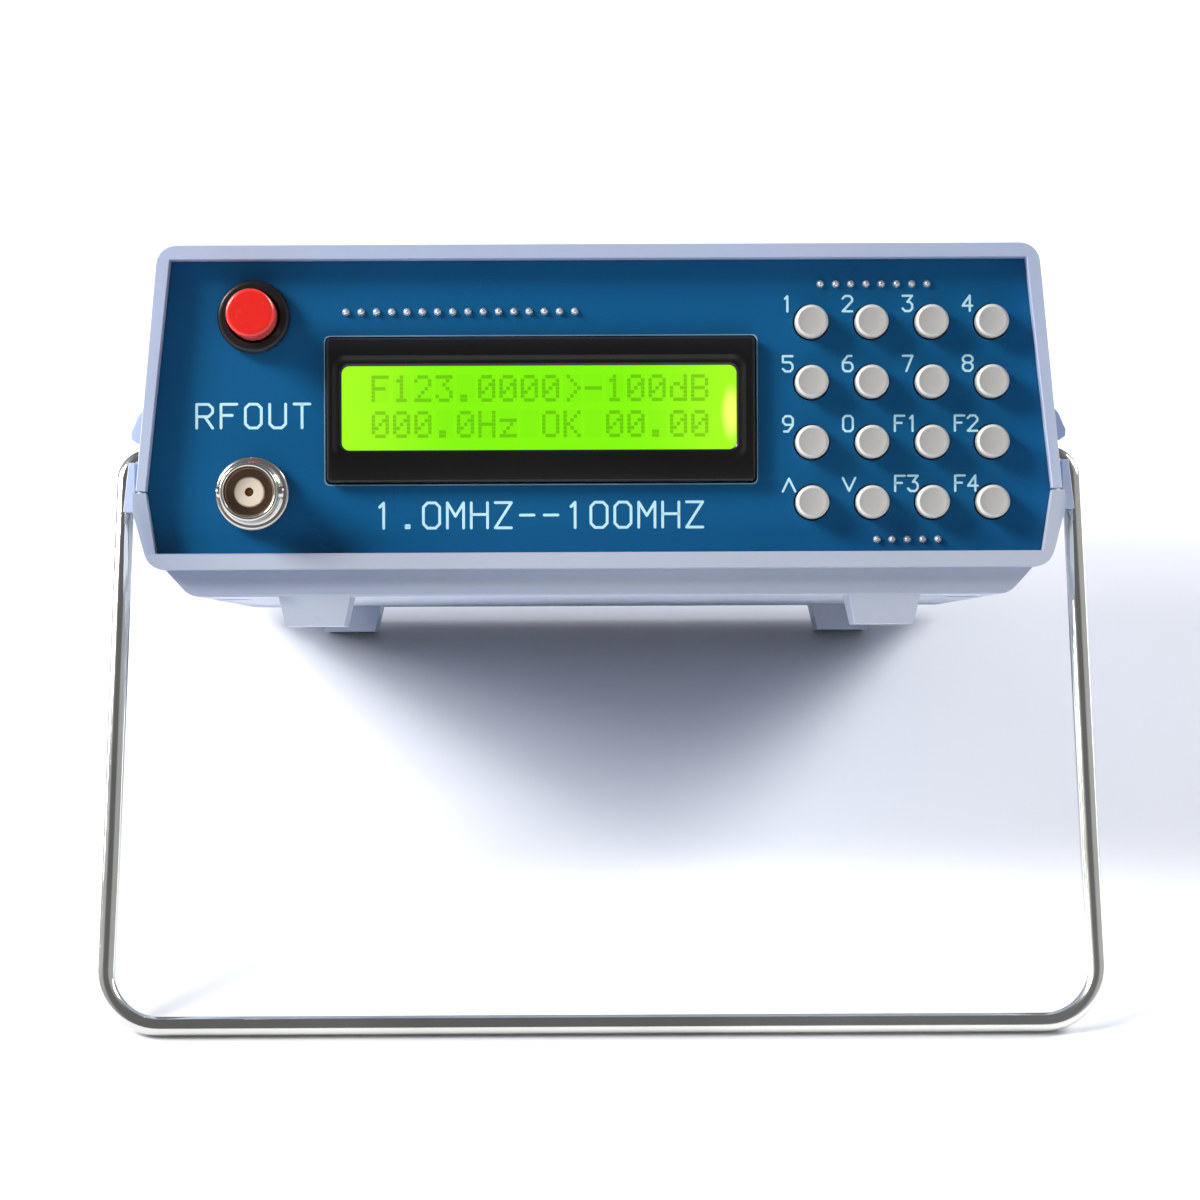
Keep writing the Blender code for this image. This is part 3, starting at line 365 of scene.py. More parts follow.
def tinplate():
    return finish_material(
        "tinplate", (0.68, 0.69, 0.70), 0.32, metallic=1.0, grain=0.5, blotches=0.2)


def aluminium():
    return finish_material(
        "plain aluminium", (0.64, 0.65, 0.66), 0.42, metallic=1.0, grain=0.7, blotches=0.1)


def board_green():
    return finish_material(
        "green board", (0.012, 0.16, 0.06), 0.35, grain_scale=700.0, grain=0.8, blotches=0.15)


def diffuser_white():
    return finish_material("milky diffuser", (0.82, 0.85, 0.76), 0.5, grain=0.3, blotches=0.04)


def lcd_glow(name, scale, hot):
    """Backlit display layer: brighter towards its ends, and near the lamp on the right if hot."""
    made = bpy.data.materials.get(name)
    if made:
        return made
    made, tree, shader = principled(name)
    low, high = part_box("lcd_glass")
    middle = (low + high) / 2
    end_colour, dark_green = (0.40, 1.0, 0.018), (0.005, 0.03, 0.001, 1.0)
    hot_colour, ripple_colour = (0.95, 1.0, 0.16, 1.0), (0.16, 0.75, 0.01, 1.0)
    hot_spot = (("X", 0.0316, 0.0019), ("Z", -0.0002, 0.0048))  # place and half size, metres
    place = tree.nodes.new("ShaderNodeTexCoord").outputs["Object"]
    mapping = tree.nodes.new("ShaderNodeMapping")
    mapping.vector_type = "POINT"
    mapping.inputs["Location"].default_value = -middle
    tree.links.new(place, mapping.inputs["Vector"])
    split = tree.nodes.new("ShaderNodeSeparateXYZ")
    tree.links.new(mapping.outputs["Vector"], split.inputs[0])
    away = value_node(tree, "ABSOLUTE", split.outputs["X"], 0.0)
    ends = ranged(tree, away, 0.012, 0.034)
    plain = (*[value * scale for value in settings().glow_colour], 1.0)
    colour = mixed(tree, ends, plain, (*[value * scale for value in end_colour], 1.0))
    if hot:
        squares = []
        for axis, centre, half in hot_spot:
            offset = value_node(tree, "SUBTRACT", split.outputs[axis], centre)
            offset = value_node(tree, "DIVIDE", offset, half)
            squares.append(value_node(tree, "POWER", offset, 2.0))
        near = ranged(tree, value_node(tree, "ADD", *squares), 0.0, 1.0, 1.0, 0.0)
        colour = mixed(tree, near, colour, hot_colour)
    ripple = ranged(tree, noise(tree, 60.0, 3.0), 0.3, 0.7, 0.0, 0.08)
    colour = mixed(tree, ripple, colour, ripple_colour)
    shader.inputs["Base Color"].default_value = dark_green
    tree.links.new(colour, shader.inputs["Emission Color"])
    shader.inputs["Emission Strength"].default_value = 1.0
    shader.inputs["Roughness"].default_value = 0.22
    shader.inputs["Specular IOR Level"].default_value = 0.1
    return made


# ---------------------------------------------------------------- mesh helpers


def arc(centre, radius, start, end, steps):
    """Points of an arc, angles in degrees."""
    angles = [math.radians(start + (end - start) * i / steps) for i in range(steps + 1)]
    return [
        (centre[0] + radius * math.cos(angle), centre[1] + radius * math.sin(angle))
        for angle in angles
    ]


def rounded_rectangle(centre, half_x, half_z, radius, steps=8):
    """A closed ring of points, anticlockwise from the right side's upper corner."""
    ring = []
    for i, (sx, sz) in enumerate(((1, 1), (-1, 1), (-1, -1), (1, -1))):
        corner = (centre[0] + sx * (half_x - radius), centre[1] + sz * (half_z - radius))
        ring += arc(corner, radius, 90.0 * i, 90.0 * (i + 1), steps)
    return ring


def circle(centre, radius, steps):
    """A closed ring of points whose first isn't repeated."""
    return arc(centre, radius, 0.0, 360.0 * (steps - 1) / steps, steps - 1)


def bridge(bm, first, second):
    """Faces between two closed rings of vertices; a corner shared by both is left out."""
    count = len(first)
    for i in range(count):
        j = (i + 1) % count
        corners = list(dict.fromkeys((first[i], first[j], second[j], second[i])))
        if len(corners) > 2:
            bm.faces.new(corners)


def add_rings(bm, rings, wrap=False, caps=False):
    """Skins a list of rings, each given as 3-D points."""
    made = [[bm.verts.new(point) for point in ring] for ring in rings]
    for first, second in zip(made, made[1:]):
        bridge(bm, first, second)
    if wrap:
        bridge(bm, made[-1], made[0])
    if caps:
        bm.faces.new(made[0])
        bm.faces.new(made[-1][::-1])


def add_turned(bm, profile, centre, steps):
    """Turns a closed profile of (radius, depth) about an axis along Y."""
    rings = []
    for radius, depth in profile:
        if radius == 0.0:
            rings.append([bm.verts.new((centre[0], depth, centre[1]))] * steps)
            continue
        rings.append([bm.verts.new((x, depth, z)) for x, z in circle(centre, radius, steps)])
    for first, second in zip(rings, rings[1:] + rings[:1]):
        if not (first[0] is first[1] and second[0] is second[1]):
            bridge(bm, first, second)


def add_slab(bm, outline, front, back, holes=()):
    """A flat plate with round or shaped holes, between two depths."""
    loops = [outline, *holes]
    edges = []
    for loop in loops:
        verts = [bm.verts.new((x, front, z)) for x, z in loop]
        edges += [bm.edges.new(pair) for pair in zip(verts, verts[1:] + verts[:1])]
    filled = bmesh.ops.triangle_fill(bm, edges=edges, use_beauty=True)
    faces = [item for item in filled["geom"] if isinstance(item, bmesh.types.BMFace)]
    pulled = bmesh.ops.extrude_face_region(bm, geom=faces, use_keep_orig=True)
    moved = [item for item in pulled["geom"] if isinstance(item, bmesh.types.BMVert)]
    bmesh.ops.translate(bm, verts=moved, vec=(0.0, back - front, 0.0))


def settle(name, bm, material, body, replaced=(), angle=32.0):
    """Moves case millimetres into the frame, orients, shades, and rides the piece on its body."""
    bmesh.ops.remove_doubles(bm, verts=bm.verts, dist=1e-5)
    bmesh.ops.transform(bm, matrix=CASE, verts=bm.verts)
    bmesh.ops.recalc_face_normals(bm, faces=bm.faces)
    mesh = bpy.data.meshes.new(name)
    bm.to_mesh(mesh)
    bm.free()
    register_piece(name, mesh, material, body, replaced, angle)


def register_piece(name, mesh, material, body, replaced, angle):
    """Shades a finished mesh, rides it on its body and hides the nodes that it replaces."""
    obj = bpy.data.objects.new(name, mesh)
    bpy.context.scene.collection.objects.link(obj)
    mesh.materials.clear()
    mesh.materials.append(material)
    mesh.shade_smooth()
    mesh.set_sharp_from_angle(angle=math.radians(angle))
    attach(obj, body)
    if replaced:
        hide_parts(*replaced)
    return obj


def softened_copy(node, name, material, body, width):
    """A copy of a CAD node with its flat faces joined up and its edges rounded."""
    sharp_angle = 28.0
    bm = bmesh.new()
    bm.from_mesh(frame["nodes"][node].data)
    bmesh.ops.remove_doubles(bm, verts=bm.verts, dist=2e-6)
    bmesh.ops.dissolve_limit(bm, angle_limit=math.radians(0.6), verts=bm.verts, edges=bm.edges)
    bmesh.ops.recalc_face_normals(bm, faces=bm.faces)
    mesh = bpy.data.meshes.new(name)
    bm.to_mesh(mesh)
    bm.free()
    obj = register_piece(name, mesh, material, body, (node,), sharp_angle)
    bevel = obj.modifiers.new("soft edges", "BEVEL")
    bevel.width = width
    bevel.segments = 3
    bevel.limit_method = "ANGLE"
    bevel.angle_limit = math.radians(sharp_angle)
    bevel.harden_normals = True
    bevel.use_clamp_overlap = True


def repaint(node, material):
    """Gives a CAD node, whose shape stays, its finish."""
    mesh = frame["nodes"][node].data
    mesh.materials.clear()
    mesh.materials.append(material)


# ---------------------------------------------------------------- geometry nodes


def dot_tree(name, make_shape):
    """A tree that sets one small shape on every point of a mesh, realised, with its material."""
    tree = bpy.data.node_groups.new(name, "GeometryNodeTree")
    add_socket = tree.interface.new_socket
    add_socket(name="Geometry", in_out="INPUT", socket_type="NodeSocketGeometry")
    for label, default in (("Width", 0.002), ("Height", 0.001)):
        socket = add_socket(name=label, in_out="INPUT", socket_type="NodeSocketFloat")
        socket.default_value = default
        socket.subtype = "DISTANCE"
    turn = add_socket(name="Tilt", in_out="INPUT", socket_type="NodeSocketFloat")
    turn.subtype = "ANGLE"
    add_socket(name="Material", in_out="INPUT", socket_type="NodeSocketMaterial")
    add_socket(name="Geometry", in_out="OUTPUT", socket_type="NodeSocketGeometry")
    start = tree.nodes.new("NodeGroupInput")
    end = tree.nodes.new("NodeGroupOutput")
    shape = make_shape(tree, start)
    turned = tree.nodes.new("ShaderNodeCombineXYZ")
    tree.links.new(start.outputs["Tilt"], turned.inputs["X"])
    copies = tree.nodes.new("GeometryNodeInstanceOnPoints")
    tree.links.new(start.outputs["Geometry"], copies.inputs["Points"])
    tree.links.new(shape, copies.inputs["Instance"])
    tree.links.new(turned.outputs["Vector"], copies.inputs["Rotation"])
    real = tree.nodes.new("GeometryNodeRealizeInstances")
    tree.links.new(copies.outputs["Instances"], real.inputs["Geometry"])
    paint = tree.nodes.new("GeometryNodeSetMaterial")
    tree.links.new(real.outputs["Geometry"], paint.inputs["Geometry"])
    tree.links.new(start.outputs["Material"], paint.inputs["Material"])
    tree.links.new(paint.outputs["Geometry"], end.inputs["Geometry"])
    return tree


def sized(tree, start, mesh_output):
    """Scales a unit shape to the Width across and the Height along the panel's normal."""
    scale = tree.nodes.new("ShaderNodeCombineXYZ")
    tree.links.new(start.outputs["Width"], scale.inputs["X"])
    tree.links.new(start.outputs["Height"], scale.inputs["Y"])
    tree.links.new(start.outputs["Width"], scale.inputs["Z"])
    resized = tree.nodes.new("GeometryNodeTransform")
    tree.links.new(mesh_output, resized.inputs["Geometry"])
    tree.links.new(scale.outputs["Vector"], resized.inputs["Scale"])
    return resized.outputs["Geometry"]


def dome_shape(tree, start):
    ball = tree.nodes.new("GeometryNodeMeshUVSphere")
    ball.inputs["Segments"].default_value = 16
    ball.inputs["Rings"].default_value = 10
    ball.inputs["Radius"].default_value = 0.5
    smooth = tree.nodes.new("GeometryNodeSetShadeSmooth")
    tree.links.new(ball.outputs["Mesh"], smooth.inputs["Geometry"])
    return sized(tree, start, smooth.outputs["Geometry"])


def tile_shape(tree, start):
    cube = tree.nodes.new("GeometryNodeMeshCube")
    cube.inputs["Size"].default_value = (1.0, 1.0, 1.0)
    return sized(tree, start, cube.outputs["Mesh"])


def scatter(name, points, tree, width, height, material, body):
    """One plain mesh from a dot tree over the given case points."""
    mesh = bpy.data.meshes.new(name + " points")
    mesh.from_pydata([CASE @ Vector(point) for point in points], [], [])
    holder = bpy.data.objects.new(name + " points", mesh)
    bpy.context.scene.collection.objects.link(holder)
    modifier = holder.modifiers.new("repeat", "NODES")
    modifier.node_group = tree
    sizes = {"Width": width * MM, "Height": height * MM, "Tilt": CASE.to_euler().x}
    given = {**sizes, "Material": material}
    for item in tree.interface.items_tree:
        if item.in_out == "INPUT" and item.name in given:
            modifier[item.identifier] = given[item.name]
    graph = bpy.context.evaluated_depsgraph_get()
    made = bpy.data.meshes.new_from_object(holder.evaluated_get(graph))
    bpy.data.objects.remove(holder)
    obj = bpy.data.objects.new(name, made)
    bpy.context.scene.collection.objects.link(obj)
    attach(obj, body)


# ---------------------------------------------------------------- stroke lettering

# Each letter is a list of strokes on a grid 4 wide and 6 high.
STROKES = {
    "0": [[(1, 0), (0, 1), (0, 5), (1, 6), (3, 6), (4, 5), (4, 1), (3, 0), (1, 0)]],
    "1": [[(1, 5), (2, 6), (2, 0)]],
    "2": [[(0, 5), (1, 6), (3, 6), (4, 5), (4, 4), (0, 0), (4, 0)]],
    "3": [[(0, 6), (4, 6), (2, 3.6), (3, 3.6), (4, 2.6), (4, 1), (3, 0), (1, 0), (0, 1)]],
    "4": [[(3, 0), (3, 6), (0, 2), (4, 2)]],
    "5": [[(4, 6), (0, 6), (0, 3.6), (3, 3.6), (4, 2.6), (4, 1), (3, 0), (1, 0), (0, 1)]],
    "6": [[
        (3.6, 6), (2, 6), (0, 3.6), (0, 1), (1, 0), (3, 0), (4, 1), (4, 2.4), (3, 3.4), (0.4, 3.4),
    ]],
    "7": [[(0, 6), (4, 6), (1.4, 0)]],
    "8": [
        [(1, 3.2), (0, 4.1), (0, 5.1), (1, 6), (3, 6), (4, 5.1), (4, 4.1), (3, 3.2), (1, 3.2)],
        [(1, 3.2), (0, 2.2), (0, 1), (1, 0), (3, 0), (4, 1), (4, 2.2), (3, 3.2)],
    ],
    "9": [[
        (0.4, 0), (2, 0), (4, 2.4), (4, 5), (3, 6), (1, 6), (0, 5), (0, 3.6), (1, 2.6), (3.6, 2.6),
    ]],
    "F": [[(0, 0), (0, 6), (4, 6)], [(0, 3.2), (2.8, 3.2)]],
    "O": [[(1, 0), (0, 1), (0, 5), (1, 6), (3, 6), (4, 5), (4, 1), (3, 0), (1, 0)]],
    "U": [[(0, 6), (0, 1), (1, 0), (3, 0), (4, 1), (4, 6)]],
    "T": [[(0, 6), (4, 6)], [(2, 6), (2, 0)]],
    "R": [[(0, 0), (0, 6), (3, 6), (4, 5), (4, 3.9), (3, 2.9), (0, 2.9)], [(2, 2.9), (4, 0)]],
    "M": [[(0, 0), (0, 6), (2, 2.8), (4, 6), (4, 0)]],
    "H": [[(0, 0), (0, 6)], [(4, 0), (4, 6)], [(0, 3.2), (4, 3.2)]],
    "Z": [[(0, 6), (4, 6), (0, 0), (4, 0)]],
    "-": [[(0.3, 3), (3.7, 3)]],
    ".": [[(1.6, 0.1), (2.4, 0.1)], [(1.6, 0.6), (2.4, 0.6)]],
    "^": [[(-0.3, 0), (2.3, 5), (4.9, 0)]],
    "v": [[(-0.3, 5.2), (2.3, 0.2), (4.9, 5.2)]],
}
LETTER_CELLS = 4.0
LETTER_ROWS = 6.0
KEY_LETTER = (1.6, 2.55, 2.15)  # width, height and pitch of the legends beside the keys
KEY_LEGEND_WEIGHT = 0.8  # their line width as a share of the others'
PRINTED = (  # text, left, bottom, letter width, height and pitch
    ("RFOUT", -66.9, 33.0, 2.65, 3.95, 4.05),
    ("1.0MHZ--100MHZ", -37.2, 16.2, 2.7, 4.2, 3.98),
)
INK_FRONT = PANEL_FRONT - 0.05
INK_BACK = PANEL_FRONT + 0.2
STROKE_STEP = 0.0004  # each piece of a stroke stands this much further out than the last


def add_stroke(bm, path, radius, low, high):
    """A thin raised line with round ends and corners along a flat path."""
    closed = path[0] == path[-1]
    points = path[:-1] if closed else path
    for index in range(len(points) if closed else len(points) - 1):
        a = points[index]
        b = points[(index + 1) % len(points)]
        lean = math.degrees(math.atan2(b[1] - a[1], b[0] - a[0]))
        outline = arc(a, radius, lean + 90.0, lean + 270.0, 6)
        outline += arc(b, radius, lean - 90.0, lean + 90.0, 6)
        rings = [[(x, depth, z) for x, z in outline] for depth in (low, high)]
        add_rings(bm, rings, caps=True)
        low -= STROKE_STEP


def add_text(bm, text, left, bottom, letter_width, height, pitch, line_width):
    """A line of stroke letters on the panel's front face."""
    for index, letter in enumerate(text):
        for stroke in STROKES[letter]:
            path = [
                (
                    left + index * pitch + u * letter_width / LETTER_CELLS,
                    bottom + v * height / LETTER_ROWS,
                )
                for u, v in stroke
            ]
            add_stroke(bm, path, line_width / 2, INK_FRONT, INK_BACK)


# Dot patterns of the display's characters, five columns by seven rows, one string a row. All ten
# figures are here, so that the rows can be changed.
DOTS = {
    "0": ("01110", "10001", "10011", "10101", "11001", "10001", "01110"),
    "1": ("00100", "01100", "00100", "00100", "00100", "00100", "01110"),
    "2": ("01110", "10001", "00001", "00010", "00100", "01000", "11111"),
    "3": ("11111", "00010", "00100", "00010", "00001", "10001", "01110"),
    "4": ("00010", "00110", "01010", "10010", "11111", "00010", "00010"),
    "5": ("11111", "10000", "11110", "00001", "00001", "10001", "01110"),
    "6": ("00110", "01000", "10000", "11110", "10001", "10001", "01110"),
    "7": ("11111", "10001", "00001", "00010", "00100", "00100", "00100"),
    "8": ("01110", "10001", "10001", "01110", "10001", "10001", "01110"),
    "9": ("01110", "10001", "10001", "01111", "00001", "00010", "01100"),
    ".": ("00000", "00000", "00000", "00000", "00000", "01100", "01100"),
    "-": ("00000", "00000", "00000", "11111", "00000", "00000", "00000"),
    "F": ("11111", "10000", "10000", "11110", "10000", "10000", "10000"),
    "B": ("11110", "10001", "10001", "11110", "10001", "10001", "11110"),
    "H": ("10001", "10001", "10001", "11111", "10001", "10001", "10001"),
    "K": ("10001", "10010", "10100", "11000", "10100", "10010", "10001"),
    "O": ("01110", "10001", "10001", "10001", "10001", "10001", "01110"),
    "d": ("00001", "00001", "01101", "10011", "10001", "10001", "01111"),
    "z": ("00000", "00000", "11111", "00010", "00100", "01000", "11111"),
    ">": ("01000", "00100", "00010", "00001", "00010", "00100", "01000"),
    " ": ("00000",) * 7,
}


# ---------------------------------------------------------------- settings


class GeneratorLooks(bpy.types.PropertyGroup):
    """Sizes and colours that a user would change."""

    case_colour: bpy.props.FloatVectorProperty(
        name="Case colour", description="Moulded plastic of both case halves",
        subtype="COLOR", size=3, min=0.0, max=1.0, default=(0.38, 0.45, 0.625))
    panel_colour: bpy.props.FloatVectorProperty(
        name="Panel colour", description="Solder resist of the front panel",
        subtype="COLOR", size=3, min=0.0, max=1.0, default=(0.004, 0.102, 0.258))
    glow_colour: bpy.props.FloatVectorProperty(
        name="Backlight colour", description="Glow of the lit display",
        subtype="COLOR", size=3, min=0.0, max=1.0, default=(0.235, 0.93, 0.004))
    edge_softness: bpy.props.FloatProperty(
        name="Case edge radius", description="Rounding of the case's moulded edges, in metres",
        subtype="DISTANCE", unit="LENGTH", min=0.0, default=0.0004)
    line_width: bpy.props.FloatProperty(
        name="Legend line width", description="Width of the printed strokes, in metres",
        subtype="DISTANCE", unit="LENGTH", min=0.0001, default=0.00046)
    dot_width: bpy.props.FloatProperty(
        name="Solder dot width", description="Diameter of each solder dot, in metres",
        subtype="DISTANCE", unit="LENGTH", min=0.0002, default=0.00130)
    rows: bpy.props.StringProperty(
        name="Display rows", description="The two rows of figures, sixteen each, parted by a bar",
        default="F123.0000>-100dB|000.0Hz OK 00.00")


class PieceOperator:
    """What every build operator shares."""

    bl_options = {"REGISTER", "UNDO"}


class GENERATOR_OT_case(PieceOperator, bpy.types.Operator):
    """Both moulded case halves with soft edges, the lower one painted darker as shade, and the rear
    panel's finish
    """

    bl_idname = "generator.case"
    bl_label = "Case Halves"

    def execute(self, context):
        width = settings().edge_softness
        plastic = case_plastic("lilac grey moulded plastic", 1.0)
        # The lower half is a darker copy of the same plastic: painted shade.
        painted_shade_plastic = case_plastic("lilac grey plastic with painted shade, lower half", LOWER_HALF_PAINTED_SHADE)
        softened_copy("top_shell", "case_top", plastic, CASE_BODY, width)
        softened_copy("bottom_shell", "case_bottom", painted_shade_plastic, CASE_BODY, width)
        repaint("rear_panel", plastic)
        return {"FINISHED"}


def panel_ring():
    """Edge of the front panel inside the case's slots."""
    side = ((74.1, 11.4), (75.7, 22.2), (71.6, 61.3))
    return [*side, *[(-x, z) for x, z in reversed(side)]]


def node_middle(node):
    """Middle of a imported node, across and up, in case millimetres."""
    low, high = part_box(node)
    middle = CASE.inverted() @ ((low + high) / 2)
    return middle.x, middle.z


LCD_CENTRE = node_middle("lcd_frame")
LCD_HALF = (35.6, 12.0)
LCD_GAP = 0.3
LCD_FRONT = 1.8
WINDOW_CENTRE = (LCD_CENTRE[0] - 0.3, LCD_CENTRE[1] + 0.3)
WINDOW_HALF = (32.8, 7.0)


class GENERATOR_OT_panel(PieceOperator, bpy.types.Operator):
    """Blue front panel with round key holes and the display cut-out"""

    bl_idname = "generator.panel"
    bl_label = "Front Panel"

    def execute(self, context):
        holes = [circle(centre, KEY_HOLE_RADIUS, 40) for _, _, centre in each_key()]
        holes.append(circle(BUTTON, BUTTON_HOLE_RADIUS, 40))
        holes.append(circle(SOCKET, SOCKET_HOLE_RADIUS, 40))
        window = rounded_rectangle(LCD_CENTRE, LCD_HALF[0] + LCD_GAP, LCD_HALF[1] + LCD_GAP, 0.8, 4)
        holes.append(window)
        bm = bmesh.new()
        add_slab(bm, panel_ring(), PANEL_FRONT, PANEL_BACK, holes)
        settle("blue_panel", bm, panel_blue(), CASE_BODY, ("front_panel",))
        rim = bmesh.new()
        rings = []
        inner, outer, proud, sunk = 0.32, 0.50, 3.96, 4.1
        for grow, depth in ((inner, sunk), (inner, proud), (outer, proud), (outer, sunk)):
            ring = rounded_rectangle(LCD_CENTRE, LCD_HALF[0] + grow, LCD_HALF[1] + grow, 0.9, 4)
            rings.append([(x, depth, z) for x, z in ring])
        add_rings(rim, rings, wrap=True)
        settle("display_outline", rim, bare_edge(), CASE_BODY)
        return {"FINISHED"}


def each_key():
    """(node, legend, centre) of every key, row by row."""
    found = []
    for row, names in enumerate(KEY_ROWS):
        for column, (node, legend) in enumerate(names):
            centre = (KEY_FIRST[0] + KEY_PITCH * column, KEY_FIRST[1] - KEY_PITCH * row)
            found.append((node, legend, centre))
    return found


class GENERATOR_OT_legends(PieceOperator, bpy.types.Operator):
    """Printed stroke legends: a figure or arrow beside each key, and two lines of text"""

    bl_idname = "generator.legends"
    bl_label = "Printed Legends"

    def execute(self, context):
        line = settings().line_width / MM
        bm = bmesh.new()
        for _, legend, (x, z) in each_key():
            left = x - 4.7 if len(legend) == 1 else x - 6.1
            add_text(bm, legend, left, z + 1.85, *KEY_LETTER, line * KEY_LEGEND_WEIGHT)
        for printed in PRINTED:
            add_text(bm, *printed, line)
        settle("legends", bm, silk_ink(), CASE_BODY, angle=60.0)
        return {"FINISHED"}


class GENERATOR_OT_solder(PieceOperator, bpy.types.Operator):
    """Domed solder dots over the three pin rows"""

    bl_idname = "generator.solder"
    bl_label = "Solder Dots"

    def execute(self, context):
        dome_height = 1.6
        points = [
            (first + step * PIN_PITCH, PANEL_FRONT - 0.05, z)
            for first, z, count in PIN_ROWS
            for step in range(count)
        ]
        width = settings().dot_width / MM
        tree = dot_tree("solder dots", dome_shape)
        scatter("solder_dots", points, tree, width, dome_height, solder(), CASE_BODY)
        return {"FINISHED"}


class GENERATOR_OT_display(PieceOperator, bpy.types.Operator):
    """Black display can with its raised window ridge, the lit layer and its figures"""

    bl_idname = "generator.display"
    bl_label = "Display"

    def execute(self, context):
        self.can()
        self.lit_layer()
        self.figures(settings().rows.split("|"))
        return {"FINISHED"}

    def can(self):
        """Rings around the can, then around its window: growth in X and Z, corner and depth."""
        back, inside = 8.3, LCD_FRONT + 0.95
        can, window = (LCD_CENTRE, LCD_HALF), (WINDOW_CENTRE, WINDOW_HALF)
        steps = (
            (can, -0.6, -0.6, 0.3, back),
            (can, 0.0, 0.0, 0.7, back),
            (can, 0.0, 0.0, 0.7, LCD_FRONT + 0.45),
            (can, -0.14, -0.14, 0.6, LCD_FRONT + 0.12),
            (can, -0.45, -0.45, 0.5, LCD_FRONT),
            (window, 1.7, 1.9, 2.2, LCD_FRONT),
            (window, 1.5, 1.7, 2.1, LCD_FRONT + 0.02),
            (window, 1.1, 1.2, 1.9, LCD_FRONT + 0.35),
            (window, 0.5, 0.5, 1.5, LCD_FRONT + 0.42),
            (window, 0.1, 0.1, 1.35, LCD_FRONT + 0.55),
            (window, 0.0, 0.0, 1.3, LCD_FRONT + 0.7),
            (window, 0.0, 0.0, 1.3, inside),
            (can, -0.6, -0.6, 0.3, inside),
        )
        rings = []
        for (middle, half), grow_x, grow_z, radius, depth in steps:
            ring = rounded_rectangle(middle, half[0] + grow_x, half[1] + grow_z, radius)
            rings.append([(x, depth, z) for x, z in ring])
        bm = bmesh.new()
        add_rings(bm, rings, wrap=True)
        settle("display_can", bm, black_metal(), CASE_BODY, ("lcd_frame",), 40.0)

    def lit_layer(self):
        """The glowing plate behind the window, a little larger than it."""
        overlap = 0.6
        half_x, half_z = WINDOW_HALF[0] + overlap, WINDOW_HALF[1] + overlap
        bm = bmesh.new()
        outline = rounded_rectangle(WINDOW_CENTRE, half_x, half_z, 0.6, 3)
        add_slab(bm, outline, LCD_FRONT + 1.05, LCD_FRONT + 2.7)
        glow = lcd_glow("lit display layer", 1.0, True)
        settle("display_layer", bm, glow, CASE_BODY, ("lcd_glass",))

    def figures(self, rows):
        """Sixteen figures a row, each a block of square dots over a faint cell."""
        pitch, row_pitch = 3.54, 5.95
        dot, first_x, top_z = 0.575, -37.75, WINDOW_CENTRE[1] + 5.5
        stretch = 1.12  # a dot's height for its width
        cells = bmesh.new()
        lit = []
        for row, text in enumerate(rows):
            for column, letter in enumerate(text):
                left = first_x + column * pitch
                top = top_z - row * row_pitch
                middle = (left + 2.5 * dot, top - 3.5 * dot * stretch)
                cell = rounded_rectangle(middle, 2.56 * dot, 3.56 * dot * stretch, 0.05, 1)
                add_slab(cells, cell, LCD_FRONT + 1.02, LCD_FRONT + 1.08)
                for down, pattern in enumerate(DOTS[letter]):
                    for across, mark in enumerate(pattern):
                        if mark == "1":
                            x = left + (across + 0.5) * dot
                            z = top - (down + 0.5) * dot * stretch
                            lit.append((x, LCD_FRONT + 1.0, z))
        cell_glow = lcd_glow("faint figure cell", 0.96, False)
        settle("figure_cells", cells, cell_glow, CASE_BODY)
        tree = dot_tree("figure dots", tile_shape)
        dot_glow = lcd_glow("figure dot", 0.60, False)
        scatter("figure_dots", lit, tree, dot * 0.98, 0.08, dot_glow, CASE_BODY)


class GENERATOR_OT_keys(PieceOperator, bpy.types.Operator):
    """Sixteen round key caps with a bevelled rim, each on its own body"""

    bl_idname = "generator.keys"
    bl_label = "Keys"

    def execute(self, context):
        face, flange, stem_end = PANEL_FRONT - 3.5, 6.3, 10.8
        rim, stem = KEY_RADIUS, 1.6
        profile = [(0.0, face + 0.12), (1.2, face + 0.10), (rim - 0.62, face + 0.03)]
        profile += [(rim - 0.50, face), (rim - 0.36, face + 0.04), (rim - 0.04, face + 0.42)]
        profile += [(rim, face + 0.62), (rim, flange), (rim + 0.8, flange), (rim + 0.8, 7.0)]
        profile += [(stem, 7.7), (stem, stem_end), (0.0, stem_end)]
        material = key_plastic()
        for node, _, centre in each_key():
            bm = bmesh.new()
            add_turned(bm, profile, centre, 48)
            settle("cap_" + node, bm, material, node + "_body", (node,), 38.0)
        return {"FINISHED"}


